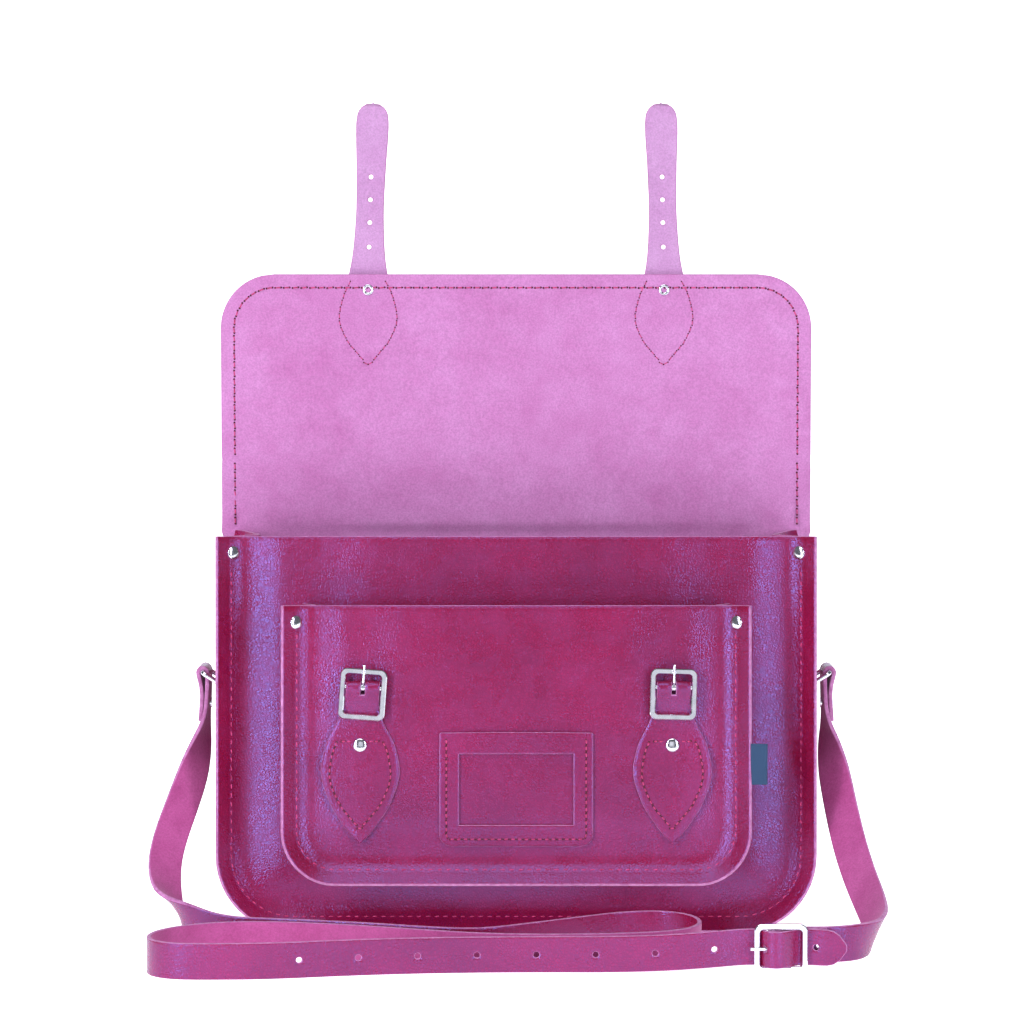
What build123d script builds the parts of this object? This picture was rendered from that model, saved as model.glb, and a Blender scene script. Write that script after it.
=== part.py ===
from build123d import *

# Satchel bag. X runs along the front, left to right, +Y to the back and +Z up. The origin is under the
# middle of the bag's box, without the shoulder strap. All sizes are in millimetres.
import os
from math import asin, atan, cos, degrees, radians, sin, tan

# Body
body_width = 360.0
body_height = 238.2
depth_bottom = 84.0
depth_top = 56.0
body_corner = 46.0
bag_y = 17.0
panel_leather = 2.4
gusset_leather = 1.8
rim_slope = 40.0
rim_length = 15.0
gusset_setback = 2.4
body_fold = 14.0
fold_from_front = 0.30
edge_gap = 0.3
foot_cut = 0.6

# Pocket on the front
pocket_width = 277.0
pocket_height = 164.5
pocket_foot = 32.2
pocket_corner = 32.0
pocket_depth_bottom = 36.0
pocket_depth_top = 32.0
pocket_fold = 9.0
pocket_flange = 7.0

# Flap and its straps
flap_width = 363.0
flap_length = 157.5
flap_top_length = 83.6
flap_corner = 33.0
crease_gap = 1.4
crease_rise = 2.2
strap_x = 91.0
strap_reach = 105.0
strap_tip_width = 19.6
strap_waist = 16.5
strap_root_width = 23.5
leaf_width = 42.6
leaf_length = 68.0
strap_holes = (17.0, 32.0, 46.0, 60.0)
strap_hole = 3.5
strap_rivet_drop = 9.3

# Buckles, shared by the pocket and the shoulder strap
buckle_width = 27.5
buckle_height = 30.0
buckle_bar = 3.2
centre_bar = 2.6
prong_wire = 1.9
centre_bar_up = 19.0
loop_leather = 2.0
loop_clear = 0.3
tongue_width = 19.4
prong_slot = 3.2
slot_length = 12.0

# Buckle tabs, label holder and side tag on the pocket
tab_x = 92.0
tab_tip = 25.0
tab_widest = 67.0
tab_neck = 97.0
tab_width = 46.0
tab_neck_width = 27.0
tab_rivet = 82.5
tab_pivot = 90.0
tab_turns = {"left": 4.0, "right": 1.5}
buckle_v = 116.5
buckle_w = 6.6
holder_width = 90.0
holder_height = 66.5
holder_foot = 23.0
holder_leather = 2.0
window_width = 68.0
window_height = 42.5
card_gap = 0.6
tag_out = 9.3
tag_height = 24.0
tag_foot = 59.5

# Rivets
cap_radius = 4.1
cap_rise = 1.6
shank_radius = 1.5
corner_rivet_drop = 9.0

# Side rings and the shoulder strap
ring_wire = 3.0
ring_inner = 22.0
ring_y = bag_y - 8.0
ring_inner_x = 178.0
ring_inner_z = 146.0
ring_outer_x = 190.0
ring_outer_z = 153.5
chape_width = 19.0
shoulder_width = 20.0
shoulder_leather = 2.4
shoulder_hole = 4.0
first_hole = 17.0
hole_pitch = 33.5
hole_count = 10
shoulder_buckle = (145.1, -142.4, 13.75)
chape_foot_x = 167.8
chape_rivet_z = 118.0
strap_rivet_z = 134.0
lap_end_z = 124.0

# The long shoulder strap's route from the left ring, one point a row: x, y, z of the strap's middle line and
# the direction its width lies in there.
long_route = [
    (-187.0, 9.0, 153.5, (0, 1, 0)),
    (-187.4, 8.8, 138.0, (0, 1, 0)),
    (-188.6, 7.8, 124.0, (0.05, 1, 0)),
    (-191.6, 4.6, 108.0, (0.5, 0.85, 0)),
    (-196.2, -3.0, 91.0, (0.8, 0.6, 0)),
    (-202.2, -14.4, 73.0, (0.85, 0.5, 0)),
    (-207.8, -28.0, 56.0, (0.8, 0.6, 0.1)),
    (-209.8, -40.5, 42.0, (0.65, 0.7, 0.3)),
    (-207.0, -54.0, 29.5, (0.4, 0.7, 0.6)),
    (-198.5, -67.0, 19.5, (0.2, 0.5, 0.85)),
    (-185.5, -76.5, 13.0, (0.05, 0.2, 0.98)),
    (-168.0, -83.5, 10.0, (0, 0, 1)),
    (-146.0, -88.6, 10.0, (0, 0, 1)),
    (-118.0, -94.0, 10.0, (0, 0, 1)),
    (-84.0, -102.4, 10.0, (0, 0, 1)),
    (-50.0, -114.0, 10.0, (0, 0, 1)),
    (-22.0, -119.6, 10.0, (0, 0, 1)),
    (6.0, -104.0, 10.0, (0, 0, 1)),
    (34.0, -86.4, 10.0, (0, 0, 1)),
    (62.0, -69.0, 10.0, (0, 0, 1)),
    (86.0, -65.4, 10.0, (0, 0, 1)),
    (103.0, -78.0, 10.0, (0, 0, 1)),
    (107.5, -101.0, 10.0, (0, 0, 1)),
    (97.0, -121.5, 10.0, (0, 0, 1)),
    (72.0, -130.6, 10.0, (0, 0, 1)),
    (40.0, -134.4, 10.0, (0, 0, 1)),
    (8.0, -135.0, 10.0, (0, 0, 1)),
    (-22.0, -131.4, 10.0, (0, 0, 1)),
    (-52.0, -122.4, 10.0, (0, 0, 1)),
    (-84.0, -111.0, 10.0, (0, 0, 1)),
    (-118.0, -102.0, 10.0, (0, 0, 1)),
    (-146.0, -97.6, 10.0, (0, 0, 1)),
    (-170.0, -99.5, 10.0, (0, 0, 1)),
    (-192.0, -109.6, 10.0, (0, 0, 1)),
    (-207.0, -127.0, 10.0, (0, 0, 1)),
    (-208.0, -148.0, 10.0, (0, 0, 1)),
    (-194.0, -160.6, 10.0, (0, 0, 1)),
    (-168.0, -161.6, 10.0, (0, 0, 1)),
    (-136.0, -159.6, 10.0, (0, 0, 1)),
    (-100.0, -151.6, 10.0, (0, 0, 1)),
    (-62.0, -145.6, 10.0, (0, 0, 1)),
    (-24.0, -142.6, 10.0, (0, 0, 1)),
    (14.0, -141.6, 10.0, (0, 0, 1)),
    (50.0, -142.2, 10.2, (0, 0, 1)),
    (84.0, -143.0, 11.2, (0, 0, 1)),
    (112.0, -141.6, 13.0, (0, 0, 1)),
    (126.0, -138.6, 13.75, (0, 0, 1)),
    (138.6, -137.7, 13.75, (0, 0, 1)),
    (140.4, -145.8, 13.75, (0, 0, 1)),
    (145.2, -149.5, 13.75, (0, 0, 1)),
    (151.0, -146.4, 13.75, (0, 0, 1)),
    (158.8, -138.3, 13.75, (0, 0, 1)),
    (166.0, -138.4, 13.75, (0, 0, 1)),
    (176.0, -141.6, 13.75, (0, 0, 1)),
    (186.0, -142.4, 13.75, (0, 0, 1)),
]

# The short shoulder strap's route from the right ring to the buckle's centre bar.
short_route = [
    (187.0, 9.0, 153.5, (0, 1, 0)),
    (187.4, 8.8, 138.0, (0, 1, 0)),
    (188.4, 8.0, 124.0, (-0.05, 1, 0)),
    (190.4, 5.0, 108.0, (-0.55, 0.85, 0)),
    (193.4, -2.8, 90.0, (-0.85, 0.55, 0)),
    (196.4, -14.0, 71.0, (-0.85, 0.5, 0)),
    (199.6, -30.0, 53.0, (-0.85, 0.5, 0)),
    (203.4, -49.0, 38.0, (-0.8, 0.55, -0.15)),
    (207.6, -70.0, 26.0, (-0.7, 0.5, -0.4)),
    (209.6, -91.0, 18.0, (-0.5, 0.4, -0.7)),
    (206.0, -111.0, 14.0, (-0.25, 0.2, -0.95)),
    (195.0, -125.5, 13.75, (0, 0, -1)),
    (181.0, -131.4, 13.75, (0, 0, -1)),
    (169.0, -132.7, 13.75, (0, 0, -1)),
    (158.0, -132.6, 13.75, (0, 0, -1)),
]

# Worked out from the sizes above
tilt = atan((depth_bottom - depth_top) / 2 / body_height)
slope = radians(rim_slope)
rim_out = rim_length * cos(slope)
rim_up = rim_length * sin(slope)
rim_back_out = panel_leather * sin(slope)
rim_back_in = panel_leather * (1 - cos(slope)) / tan(slope)
rim_reach = rim_out + rim_back_out
sink = rim_up * sin(tilt) + foot_cut
body_top = body_height * cos(tilt) - sink
front = Plane(origin=(0, bag_y - depth_bottom / 2, 0), x_dir=(1, 0, 0), z_dir=(0, -cos(tilt), sin(tilt)))
back = Plane(origin=(0, bag_y + depth_bottom / 2, 0), x_dir=(-1, 0, 0), z_dir=(0, cos(tilt), sin(tilt)))
pocket_lean = atan((pocket_depth_bottom - pocket_depth_top) / pocket_height)
pocket_in_front = Plane(
    origin=(0, pocket_foot, pocket_depth_bottom), x_dir=(1, 0, 0), z_dir=(0, sin(pocket_lean), cos(pocket_lean))
)
pocket = Plane(front.location * pocket_in_front.location)
flap_y = bag_y + depth_top / 2 - panel_leather
crease_y = flap_y + panel_leather / 2
crease_back_z = body_top + crease_rise
crease_front_z = crease_back_z + flap_top_length
flap_edge_z = body_top + flap_length
strap_hinge_y = flap_y + 1.5 * panel_leather
strap_hinge_z = flap_edge_z + crease_gap
shank = Cylinder(shank_radius, 40)


def leather(points, thickness):
    """A flat piece of leather from its outline, lying on w = 0 and rising by its thickness."""
    return extrude(make_face(Polyline(*points, close=True)), thickness)


def mirrored_leather(right, top, bottom):
    """A flat piece of leather from the right half of its outline, which runs from (0, top) to (0, bottom)."""
    half = extrude(make_face(Wire([*right, Line((0, bottom), (0, top))])), panel_leather)
    return half + mirror(half, Plane.YZ)


def above_floor(solid):
    """The part of a solid that is above z = 0."""
    return solid - Pos(0, 0, -50) * Box(1200, 1200, 100)


def u_path(width, top, corner):
    """The line down one side, round the bottom and up the other, inside the rim."""
    half = width / 2 - rim_reach
    points = [(-half, top), (-half, rim_reach), (half, rim_reach), (half, top)]
    return FilletPolyline(*points, radius=corner - rim_reach)


def dished_panel(width, top, corner):
    """A flat panel whose side and bottom edges turn towards +w in a straight rim. Its front face is w = 0."""
    half = width / 2 - rim_reach
    path = u_path(width, top, corner)
    flat = make_face(Wire(path.edges()) + Line((half, top), (-half, top)))
    profile = [
        (-half, top, 0),
        (-half - rim_out, top, rim_up),
        (-half - rim_reach, top, rim_up - panel_leather * cos(slope)),
        (-half - rim_back_in, top, -panel_leather),
        (-half, top, -panel_leather),
    ]
    rim = sweep(make_face(Polyline(*profile, close=True)), path=path)
    return extrude(flat, -panel_leather) + rim


def gusset_section(side, centre, angle, half, front_y, depth, fold, back_flange):
    """The corners of one cross-section of a gusset. It points out from its centre, turned down by angle.
    half is the inner wall's distance from the centre, and fold how far the wall's middle folds in."""
    t = gusset_leather
    rim = rim_length - gusset_setback
    back_y = front_y + depth
    middle = front_y + fold_from_front * depth
    near = front_y + panel_leather + edge_gap
    edge_out = half + rim * cos(slope)
    lip = rim * sin(slope)
    front_side = [
        (half, near),
        (edge_out, near - lip),
        (edge_out + t * sin(slope), near - lip + t * cos(slope)),
        (half + t, near + t * tan(slope / 2) + 0.6),
    ]
    if back_flange == "turned":
        far = back_y - panel_leather - edge_gap
        back_side = [
            (half + t, far - t * tan(slope / 2) - 0.6),
            (edge_out + t * sin(slope), far + lip - t * cos(slope)),
            (edge_out, far + lip),
            (half, far),
        ]
    else:
        far = back_y - edge_gap
        flat = half + pocket_flange
        back_side = [(half + t, far - t), (flat, far - t), (flat, far), (half, far)]
    outline = front_side + [(half + t - fold, middle)] + back_side + [(half - fold, middle)]
    centre_x, centre_z = centre
    return [
        Vector(side * (centre_x + out * cos(angle)), along, centre_z - out * sin(angle))
        for out, along in outline
    ]


def strip(sections):
    """A solid skinned with flat triangles over cross-sections that all have the same number of corners."""
    faces = [Face(Wire.make_polygon(section)) for section in (sections[0], sections[-1])]
    for near, far in zip(sections, sections[1:]):
        for i in range(len(near)):
            a, b, c, d = near[i - 1], near[i], far[i], far[i - 1]
            faces.append(Face(Wire.make_polygon([a, b, c])))
            faces.append(Face(Wire.make_polygon([a, c, d])))
    return Part() + Solid(Shell(faces))


def gusset(width, top, corner, foot, depth_at, front_at, fold, back_flange):
    """A strip of leather down the left side, round the bottom and up the right side. depth_at and front_at
    give its depth and where it starts at a height."""
    centre_x = width / 2 - corner
    centre_z = foot + corner
    half = corner - rim_reach + rim_back_in + edge_gap
    sections = []
    for side in (-1, 1):
        down = []
        for share in (1.0, 0.75, 0.5, 0.25, 0.0):
            z = centre_z + 8 + (top - centre_z - 8) * share
            down.append((side, (centre_x, z), 0.0, half, front_at(z), depth_at(z), fold * share**1.3, back_flange))
        for step in range(7):
            angle = radians(15 * step)
            z = centre_z - half * sin(angle)
            down.append((side, (centre_x, centre_z), angle, half, front_at(z), depth_at(z), 0.0, back_flange))
        sections += down if side < 0 else down[::-1]
    return strip([gusset_section(*section) for section in sections])


def rivet(grip, cap=cap_radius):
    """A tubular rivet whose domed cap sits on w = 0 and whose shank goes through the leather to its back cap."""
    brim = 0.4
    radius = (cap**2 + (cap_rise - brim) ** 2) / (2 * (cap_rise - brim))
    half_turn = asin(cap / radius) / 2
    middle = (radius * sin(half_turn), cap_rise - radius * (1 - cos(half_turn)))
    dome = ThreePointArc((cap, brim), middle, (0, cap_rise))
    profile = Wire([*Polyline((0, cap_rise), (0, 0), (cap, 0), (cap, brim)).edges(), dome])
    head = revolve(Plane.XZ * make_face(profile), Axis.Z)
    stem = Pos(0, 0, -grip / 2) * Cylinder(shank_radius, grip)
    foot = Pos(0, 0, -grip - 0.4) * Cylinder(cap * 0.85, 0.8)
    return head + stem + foot


def rim_place(panel, side, width, v):
    """The place on a rim's sloping front face where a corner rivet sits, its normal outwards."""
    out = side * (width / 2 - rim_reach + rim_out * 0.42)
    up = rim_up * 0.42
    normal = (-side * sin(slope), 0, cos(slope))
    return panel.location * Plane(origin=(out, v, up), x_dir=(0, 1, 0), z_dir=normal).location


def buckle_frame():
    """A rectangular frame in the plane w = 0 with a fixed centre bar along u through the origin."""
    middle = Pos(0, buckle_height / 2 - centre_bar_up)
    outer = RectangleRounded(buckle_width, buckle_height, 4.0)
    inner = RectangleRounded(buckle_width - 2 * buckle_bar, buckle_height - 2 * buckle_bar, 2.0)
    ring = extrude(middle * (outer - inner), 1.5, both=True)
    ring = chamfer(ring.faces().sort_by(Axis.Z)[-1].edges(), 0.5)
    return ring + Rot(0, 90, 0) * Cylinder(centre_bar / 2, buckle_width - buckle_bar)


def buckle_prong():
    """A prong whose eye runs on the centre bar and whose tip rests on the frame's top bar."""
    eye_inner = centre_bar / 2 + 0.06
    eye = Rot(0, 90, 0) * (Cylinder(eye_inner + 0.9, prong_wire) - Cylinder(eye_inner, prong_wire))
    rest = 1.5 + prong_wire / 2 + 0.15
    top = buckle_height - centre_bar_up
    path = FilletPolyline((0, 1.5, 0.6), (0, 3.4, rest + 0.3), (0, top + 2.4, rest), radius=1.2)
    wire = sweep(Plane(origin=path @ 0, z_dir=path % 0) * Circle(prong_wire / 2), path=path)
    return eye + (wire - Rot(0, 90, 0) * Cylinder(eye_inner + 0.2, prong_wire + 1))


def sleeve(bar, thickness, width):
    """A leather sleeve along Z round a bar."""
    inner = bar / 2 + loop_clear
    return Cylinder(inner + thickness, width) - Cylinder(inner, width)


def bar_space(bar, width):
    """The room a bar along Z needs inside its sleeve."""
    return Cylinder(bar / 2 + loop_clear, width + 1)


def slab(points, width):
    """An outline in X and Y, extruded along Z about the middle."""
    return extrude(make_face(Polyline(*points, close=True)), width / 2, both=True)


def chape():
    """The right side's chape: a short strap folded round the ring's inner bar, both ends on the gusset.
    Built in X and Z, with Z as its second axis."""
    t = loop_leather
    outer = ring_wire / 2 + loop_clear + t
    x, z, foot = ring_inner_x, ring_inner_z, chape_foot_x
    plies = [
        (x - outer, z),
        (x - outer + t, z),
        (foot + t, z - 20),
        (x + outer - t, z),
        (x + outer, z),
        (foot + 2 * t, z - 22),
        (foot + 2 * t, z - 34),
        (foot, z - 34),
        (foot, z - 20),
    ]
    flat = slab(plies, chape_width) + Pos(x, z, 0) * sleeve(ring_wire, t, chape_width)
    flat -= Pos(x, z, 0) * bar_space(ring_wire, chape_width)
    solid = Pos(0, ring_y, 0) * Rot(90, 0, 0) * flat
    return solid - Pos(foot, ring_y, chape_rivet_z) * Rot(0, 90, 0) * shank


def side_ring():
    """The right side's rectangular wire ring, one bar in the chape and one in the shoulder strap's loop."""
    across = ring_outer_x - ring_inner_x
    up = ring_outer_z - ring_inner_z
    path = RectangleRounded((across**2 + up**2) ** 0.5, ring_inner + ring_wire, 3.0).wire()
    ring = sweep(Plane(origin=path @ 0, z_dir=path % 0) * Circle(ring_wire / 2), path=path)
    middle = ((ring_inner_x + ring_outer_x) / 2, ring_y, (ring_inner_z + ring_outer_z) / 2)
    return Pos(*middle) * Rot(0, -degrees(atan(up / across)), 0) * ring


def arc_radii(points):
    """A radius for each corner of a route, as large as its two runs allow."""
    radii = []
    for before, at, after in zip(points, points[1:], points[2:]):
        arriving = Vector(*at) - Vector(*before)
        leaving = Vector(*after) - Vector(*at)
        turn = radians(arriving.get_angle(leaving))
        radii.append(0.45 * min(arriving.length, leaving.length) / tan(turn / 2))
    return radii


def strap_path(route):
    """The strap's middle line: straight runs joined by tangent arcs."""
    points = [row[:3] for row in route]
    return FilletPolyline(*points, radius=arc_radii(points))


def strap_section(spot, along, wide, width):
    """The corners of a rectangle of strap leather, its long side in the direction wide."""
    wide = Vector(*wide)
    wide = (wide - along * wide.dot(along)).normalized() * (width / 2)
    thick = along.cross(wide).normalized() * (shoulder_leather / 2)
    return [spot + wide + thick, spot - wide + thick, spot - wide - thick, spot + wide - thick]


def shoulder_strap(route, tip_widths=()):
    """A strap skinned along its route. Each bend keeps the width direction of its own route point, and the
    strap twists on the straight runs. tip_widths narrows the last run, by the distance from the end."""
    path = strap_path(route)
    arcs = [edge for edge in path.order_edges() if edge.geom_type == GeomType.CIRCLE]
    sections = [strap_section(path @ 0, path % 0, route[0][3], shoulder_width)]
    for arc, row in zip(arcs, route[1:-1]):
        for share in (0.0, 0.5, 1.0):
            sections.append(strap_section(arc @ share, arc % share, row[3], shoulder_width))
    end = path % 1
    for back, width in tip_widths or [(0.0, shoulder_width)]:
        sections.append(strap_section(path @ 1 - end * back, end, route[-1][3], width))
    print("strap length", round(path.length), "radii", [round(arc.radius) for arc in arcs])
    return strip(sections)


def ring_lap(side):
    """The end of a shoulder strap: up over the ring's outer bar and back down outside the main run."""
    x = ring_outer_x
    t = shoulder_leather
    lap = [
        (side * (x + ring_wire / 2 + loop_clear + t / 2), ring_y, ring_outer_z, (0, 1, 0)),
        (side * (x + 0.2), ring_y - 0.1, ring_outer_z - 9, (0, 1, 0)),
        (side * (x - 0.1), ring_y - 0.2, ring_outer_z - 15.5, (0, 1, 0)),
        (side * (x + 1.1), ring_y - 1.2, lap_end_z, (0, 1, 0)),
    ]
    sections = []
    for before, row, after in zip(lap[:1] + lap, lap, lap[1:] + lap[-1:]):
        along = (Vector(*after[:3]) - Vector(*before[:3])).normalized()
        sections.append(strap_section(Vector(*row[:3]), along, row[3], shoulder_width))
    fold = Pos(side * x, ring_y, ring_outer_z) * Rot(90, 0, 0) * sleeve(ring_wire, t, shoulder_width)
    return strip(sections) + fold


def strap_holes_along(route):
    """Cylinders through a strap at its row of holes, counted from its tip."""
    path = strap_path(route)
    holes = []
    for step in range(hole_count):
        share = 1 - (first_hole + hole_pitch * step) / path.length
        along = path % share
        spot = Plane(origin=path @ share, x_dir=(0, 0, 1), z_dir=along.cross(Vector(0, 0, 1)))
        holes.append(spot.location * Cylinder(shoulder_hole / 2, 5))
    return holes


def shoulder_parts():
    """The two shoulder straps, their end rivets and the shoulder buckle."""
    x, y, z = shoulder_buckle
    place = Plane(origin=shoulder_buckle, x_dir=(0, 0, 1), z_dir=(0, -1, 0)).location
    ring_space = Pos(0, ring_y, 0) * Rot(90, 0, 0) * bar_space(ring_wire, shoulder_width)
    t = shoulder_leather
    outer = centre_bar / 2 + loop_clear + loop_leather
    main_y = short_route[-1][1]
    lap = [
        (x + outer * sin(radians(45)), y - outer * cos(radians(45))),
        (x + 11.3, main_y - 1.5 * t),
        (178.0, main_y - 1.5 * t),
        (178.0, main_y - 0.5 * t),
        (short_route[-1][0], main_y - 0.5 * t),
        (short_route[-1][0], main_y + 0.5 * t),
        (x + 7.0, main_y + 0.5 * t),
        (x, y + outer),
        (x, y + 0.1),
    ]
    rivet_grip = 2 * t + 1.2
    long = shoulder_strap(long_route, [(8, 19), (4, 15), (0, 6)]) + ring_lap(-1)
    short = shoulder_strap(short_route) + ring_lap(1)
    short += Pos(0, 0, z) * slab(lap, shoulder_width) + Pos(x, y, z) * sleeve(centre_bar, loop_leather, shoulder_width)
    short -= Pos(x, y, z) * bar_space(centre_bar, shoulder_width)
    short -= Pos(x, y, z) * Cylinder(centre_bar / 2 + 1.4, prong_slot)
    short -= Pos(x - 4, y - 2.5, z) * Box(8, 7, prong_slot)
    for hole in strap_holes_along(long_route):
        long -= hole
    places = {}
    for side, name in ((-1, "left"), (1, "right")):
        head = (side * (ring_outer_x + 1.95), ring_y - 0.8, strap_rivet_z)
        places[name] = Plane(origin=head, x_dir=(0, 1, 0), z_dir=(side, 0, 0)).location
    places["buckle"] = Plane(origin=(172, main_y - 1.5 * t - 0.1, z), x_dir=(1, 0, 0), z_dir=(0, -1, 0)).location
    long -= Pos(-ring_outer_x, 0, ring_outer_z) * ring_space
    short -= Pos(ring_outer_x, 0, ring_outer_z) * ring_space
    long -= places["left"] * shank
    short -= places["right"] * shank
    short -= places["buckle"] * Cylinder(shank_radius, 2 * rivet_grip)
    return {
        "shoulder_strap_long": long,
        "shoulder_strap_short": short,
        "shoulder_strap_rivets": Compound(children=[place * rivet(rivet_grip, 3.6) for place in places.values()]),
        "shoulder_buckle_frame": place * buckle_frame(),
        "shoulder_buckle_prong": place * buckle_prong(),
    }


def body_depth(z):
    """From the front panel's face to the back one's at a height."""
    return depth_bottom - (depth_bottom - depth_top) * z / body_top


def body_front(z):
    """Where the front panel's face is at a height."""
    return bag_y - body_depth(z) / 2


def pocket_depth(v):
    """From the front panel's face to the pocket panel's at a height on the front panel."""
    return pocket_depth_bottom - (pocket_depth_bottom - pocket_depth_top) * (v - pocket_foot) / pocket_height


def pocket_front(v):
    """Where the pocket panel's face is at a height, against the front panel's face."""
    return -pocket_depth(v)


def body_shell():
    """The two dished panels, the gusset between them and the corner rivets."""
    parts = {}
    panel = dished_panel(body_width, body_height, body_corner)
    sunk = Pos(0, -sink, 0)
    skin = gusset(body_width, body_top, body_corner, -sink, body_depth, body_front, body_fold, "turned")
    skin = above_floor(skin)
    grip = panel_leather + gusset_leather + edge_gap + 0.3
    for plane, name in ((front, "front"), (back, "back")):
        whole = above_floor(plane.location * sunk * panel)
        places = [rim_place(plane, side, body_width, body_height - corner_rivet_drop) for side in (-1, 1)]
        for place in places:
            whole -= place * shank
            skin -= place * Cylinder(shank_radius + 0.3, 40)
        parts[name + "_panel"] = whole
        parts[name + "_corner_rivets"] = Compound(children=[place * rivet(grip) for place in places])
    parts["gusset"] = skin
    return parts


def pocket_shell():
    """The pocket's dished panel and its gusset, in the front panel's frame."""
    top = pocket_foot + pocket_height * cos(pocket_lean)
    panel = pocket_in_front.location * dished_panel(pocket_width, pocket_height, pocket_corner)
    skin = gusset(
        pocket_width, top, pocket_corner, pocket_foot, pocket_depth, pocket_front, pocket_fold, "flat"
    )
    skin = Rot(-90, 0, 0) * skin
    return {"pocket_gusset": skin, "pocket_panel": panel}


def buckle_tab(turn):
    """A leaf-shaped tab on the pocket with a tongue folded round the buckle's centre bar, its v axis up."""
    t = loop_leather
    half, neck = tab_width / 2, tab_neck_width / 2
    right = [
        Line((0, tab_neck), (neck, tab_neck)),
        ThreePointArc((neck, tab_neck), (half - 2.2, tab_neck - 14), (half, tab_widest)),
        ThreePointArc((half, tab_widest), (half - 7.6, tab_widest - 24), (0, tab_tip)),
    ]
    leaf = mirrored_leather(right, tab_neck, tab_tip)
    v, w = buckle_v - tab_pivot, buckle_w
    outer = centre_bar / 2 + loop_clear + t
    plies = [(-6, 0), (v - 9.5, 0), (v, w - outer), (v, w + outer), (v - 14.5, 4.6), (7, 4.6), (1, 2.4), (-6, 2.4)]
    gap = [(v, w - outer + t), (v - 9, t + 0.2), (v - 13, t + 0.4), (v, w + outer - t)]
    tongue = slab(plies, tongue_width) - slab(gap, tongue_width)
    tongue += Pos(v, w, 0) * sleeve(centre_bar, t, tongue_width)
    tongue -= Pos(v, w, 0) * bar_space(centre_bar, tongue_width)
    tongue -= Pos(v, w, 0) * Cylinder(outer + 0.1, prong_slot)
    tongue -= Pos(v - 1, w + 4, 0) * Box(slot_length, 8, prong_slot)
    upright = Plane(origin=(0, 0, 0), x_dir=(0, 1, 0), z_dir=(1, 0, 0)).location
    return leaf + Pos(0, tab_pivot, 0) * Rot(0, 0, -turn) * upright * tongue


def centre_bar_place(side):
    """The place of a pocket buckle's centre bar, bar along its X and the buckle's face along its Z."""
    x = -tab_x if side == "left" else tab_x
    turned = Pos(x, tab_pivot, 0) * Rot(0, 0, -tab_turns[side]) * Pos(0, buckle_v - tab_pivot, buckle_w)
    return pocket.location * turned


def label_holder():
    """A leather frame with a window and room for a card behind it, open at its top."""
    outline = Pos(0, holder_foot + holder_height / 2) * Rectangle(holder_width, holder_height)
    outline = fillet(outline.vertices().group_by(Axis.Y)[0], 6.5)
    window = Pos(0, holder_foot + 12 + window_height / 2) * RectangleRounded(window_width, window_height, 1.0)
    card = Pos(0, holder_foot + 6.5 + holder_height / 2, card_gap / 2) * Box(window_width + 10, holder_height, card_gap)
    return extrude(outline - window, holder_leather) - card


def pocket_parts():
    """Everything on the pocket's face: tabs, buckles, label holder and side tag."""
    parts = {}
    for side in ("left", "right"):
        x = -tab_x if side == "left" else tab_x
        place = pocket.location * Pos(x, tab_rivet, panel_leather)
        parts[f"buckle_tab_{side}"] = pocket.location * Pos(x, 0, 0) * buckle_tab(tab_turns[side]) - place * shank
        parts[f"buckle_frame_{side}"] = centre_bar_place(side) * buckle_frame()
        parts[f"buckle_prong_{side}"] = centre_bar_place(side) * buckle_prong()
        parts[f"buckle_tab_rivet_{side}"] = place * rivet(2 * panel_leather)
    parts["label_holder"] = pocket.location * label_holder()
    tag = Pos(pocket_width / 2 + tag_out / 2 - 0.8, tag_foot + tag_height / 2, rim_up - 2.2)
    parts["side_tag"] = pocket.location * tag * Box(tag_out + 1.6, tag_height, 1.0)
    return parts


def flap_parts():
    """The flap above its creases, the strap roots sewn on it and the two straps."""
    half = flap_width / 2
    upright = Plane(origin=(0, flap_y + panel_leather, 0), x_dir=(1, 0, 0), z_dir=(0, -1, 0)).location
    low, high = crease_back_z + crease_gap, crease_front_z - crease_gap
    top = leather([(-half, low), (half, low), (half, high), (-half, high)], panel_leather)
    low = crease_front_z + crease_gap
    outline = make_face(Polyline((-half, low), (half, low), (half, flap_edge_z), (-half, flap_edge_z), close=True))
    outline = fillet(outline.vertices().group_by(Axis.Y)[-1], flap_corner)
    parts = {"flap_top": upright * top}
    flap = upright * extrude(outline, panel_leather)
    for side, x in (("left", -strap_x), ("right", strap_x)):
        outside = Pos(x, flap_y + 2 * panel_leather, flap_edge_z) * Rot(90, 0, 0)
        leaf = outside * strap_leaf()
        head = (x, flap_y + 2 * panel_leather, flap_edge_z - strap_rivet_drop)
        spot = Plane(origin=head, x_dir=(-1, 0, 0), z_dir=(0, 1, 0)).location
        flap -= spot * shank
        parts[f"strap_leaf_{side}"] = leaf - spot * shank
        parts[f"flap_strap_{side}"] = outside * flap_strap()
        parts[f"flap_strap_rivet_{side}"] = spot * rivet(2 * panel_leather, 3.5)
    parts["flap_front"] = flap
    return parts


def strap_leaf():
    """A strap's leaf-shaped root, hanging from the flap's edge at v = 0."""
    half, root = leaf_width / 2, strap_root_width / 2
    right = [
        Line((0, 0), (root, 0)),
        ThreePointArc((root, 0), (half - 3, -12), (half, -27)),
        ThreePointArc((half, -27), (half - 7, -46), (0, -leaf_length)),
    ]
    return mirrored_leather(right, 0, -leaf_length)


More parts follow.
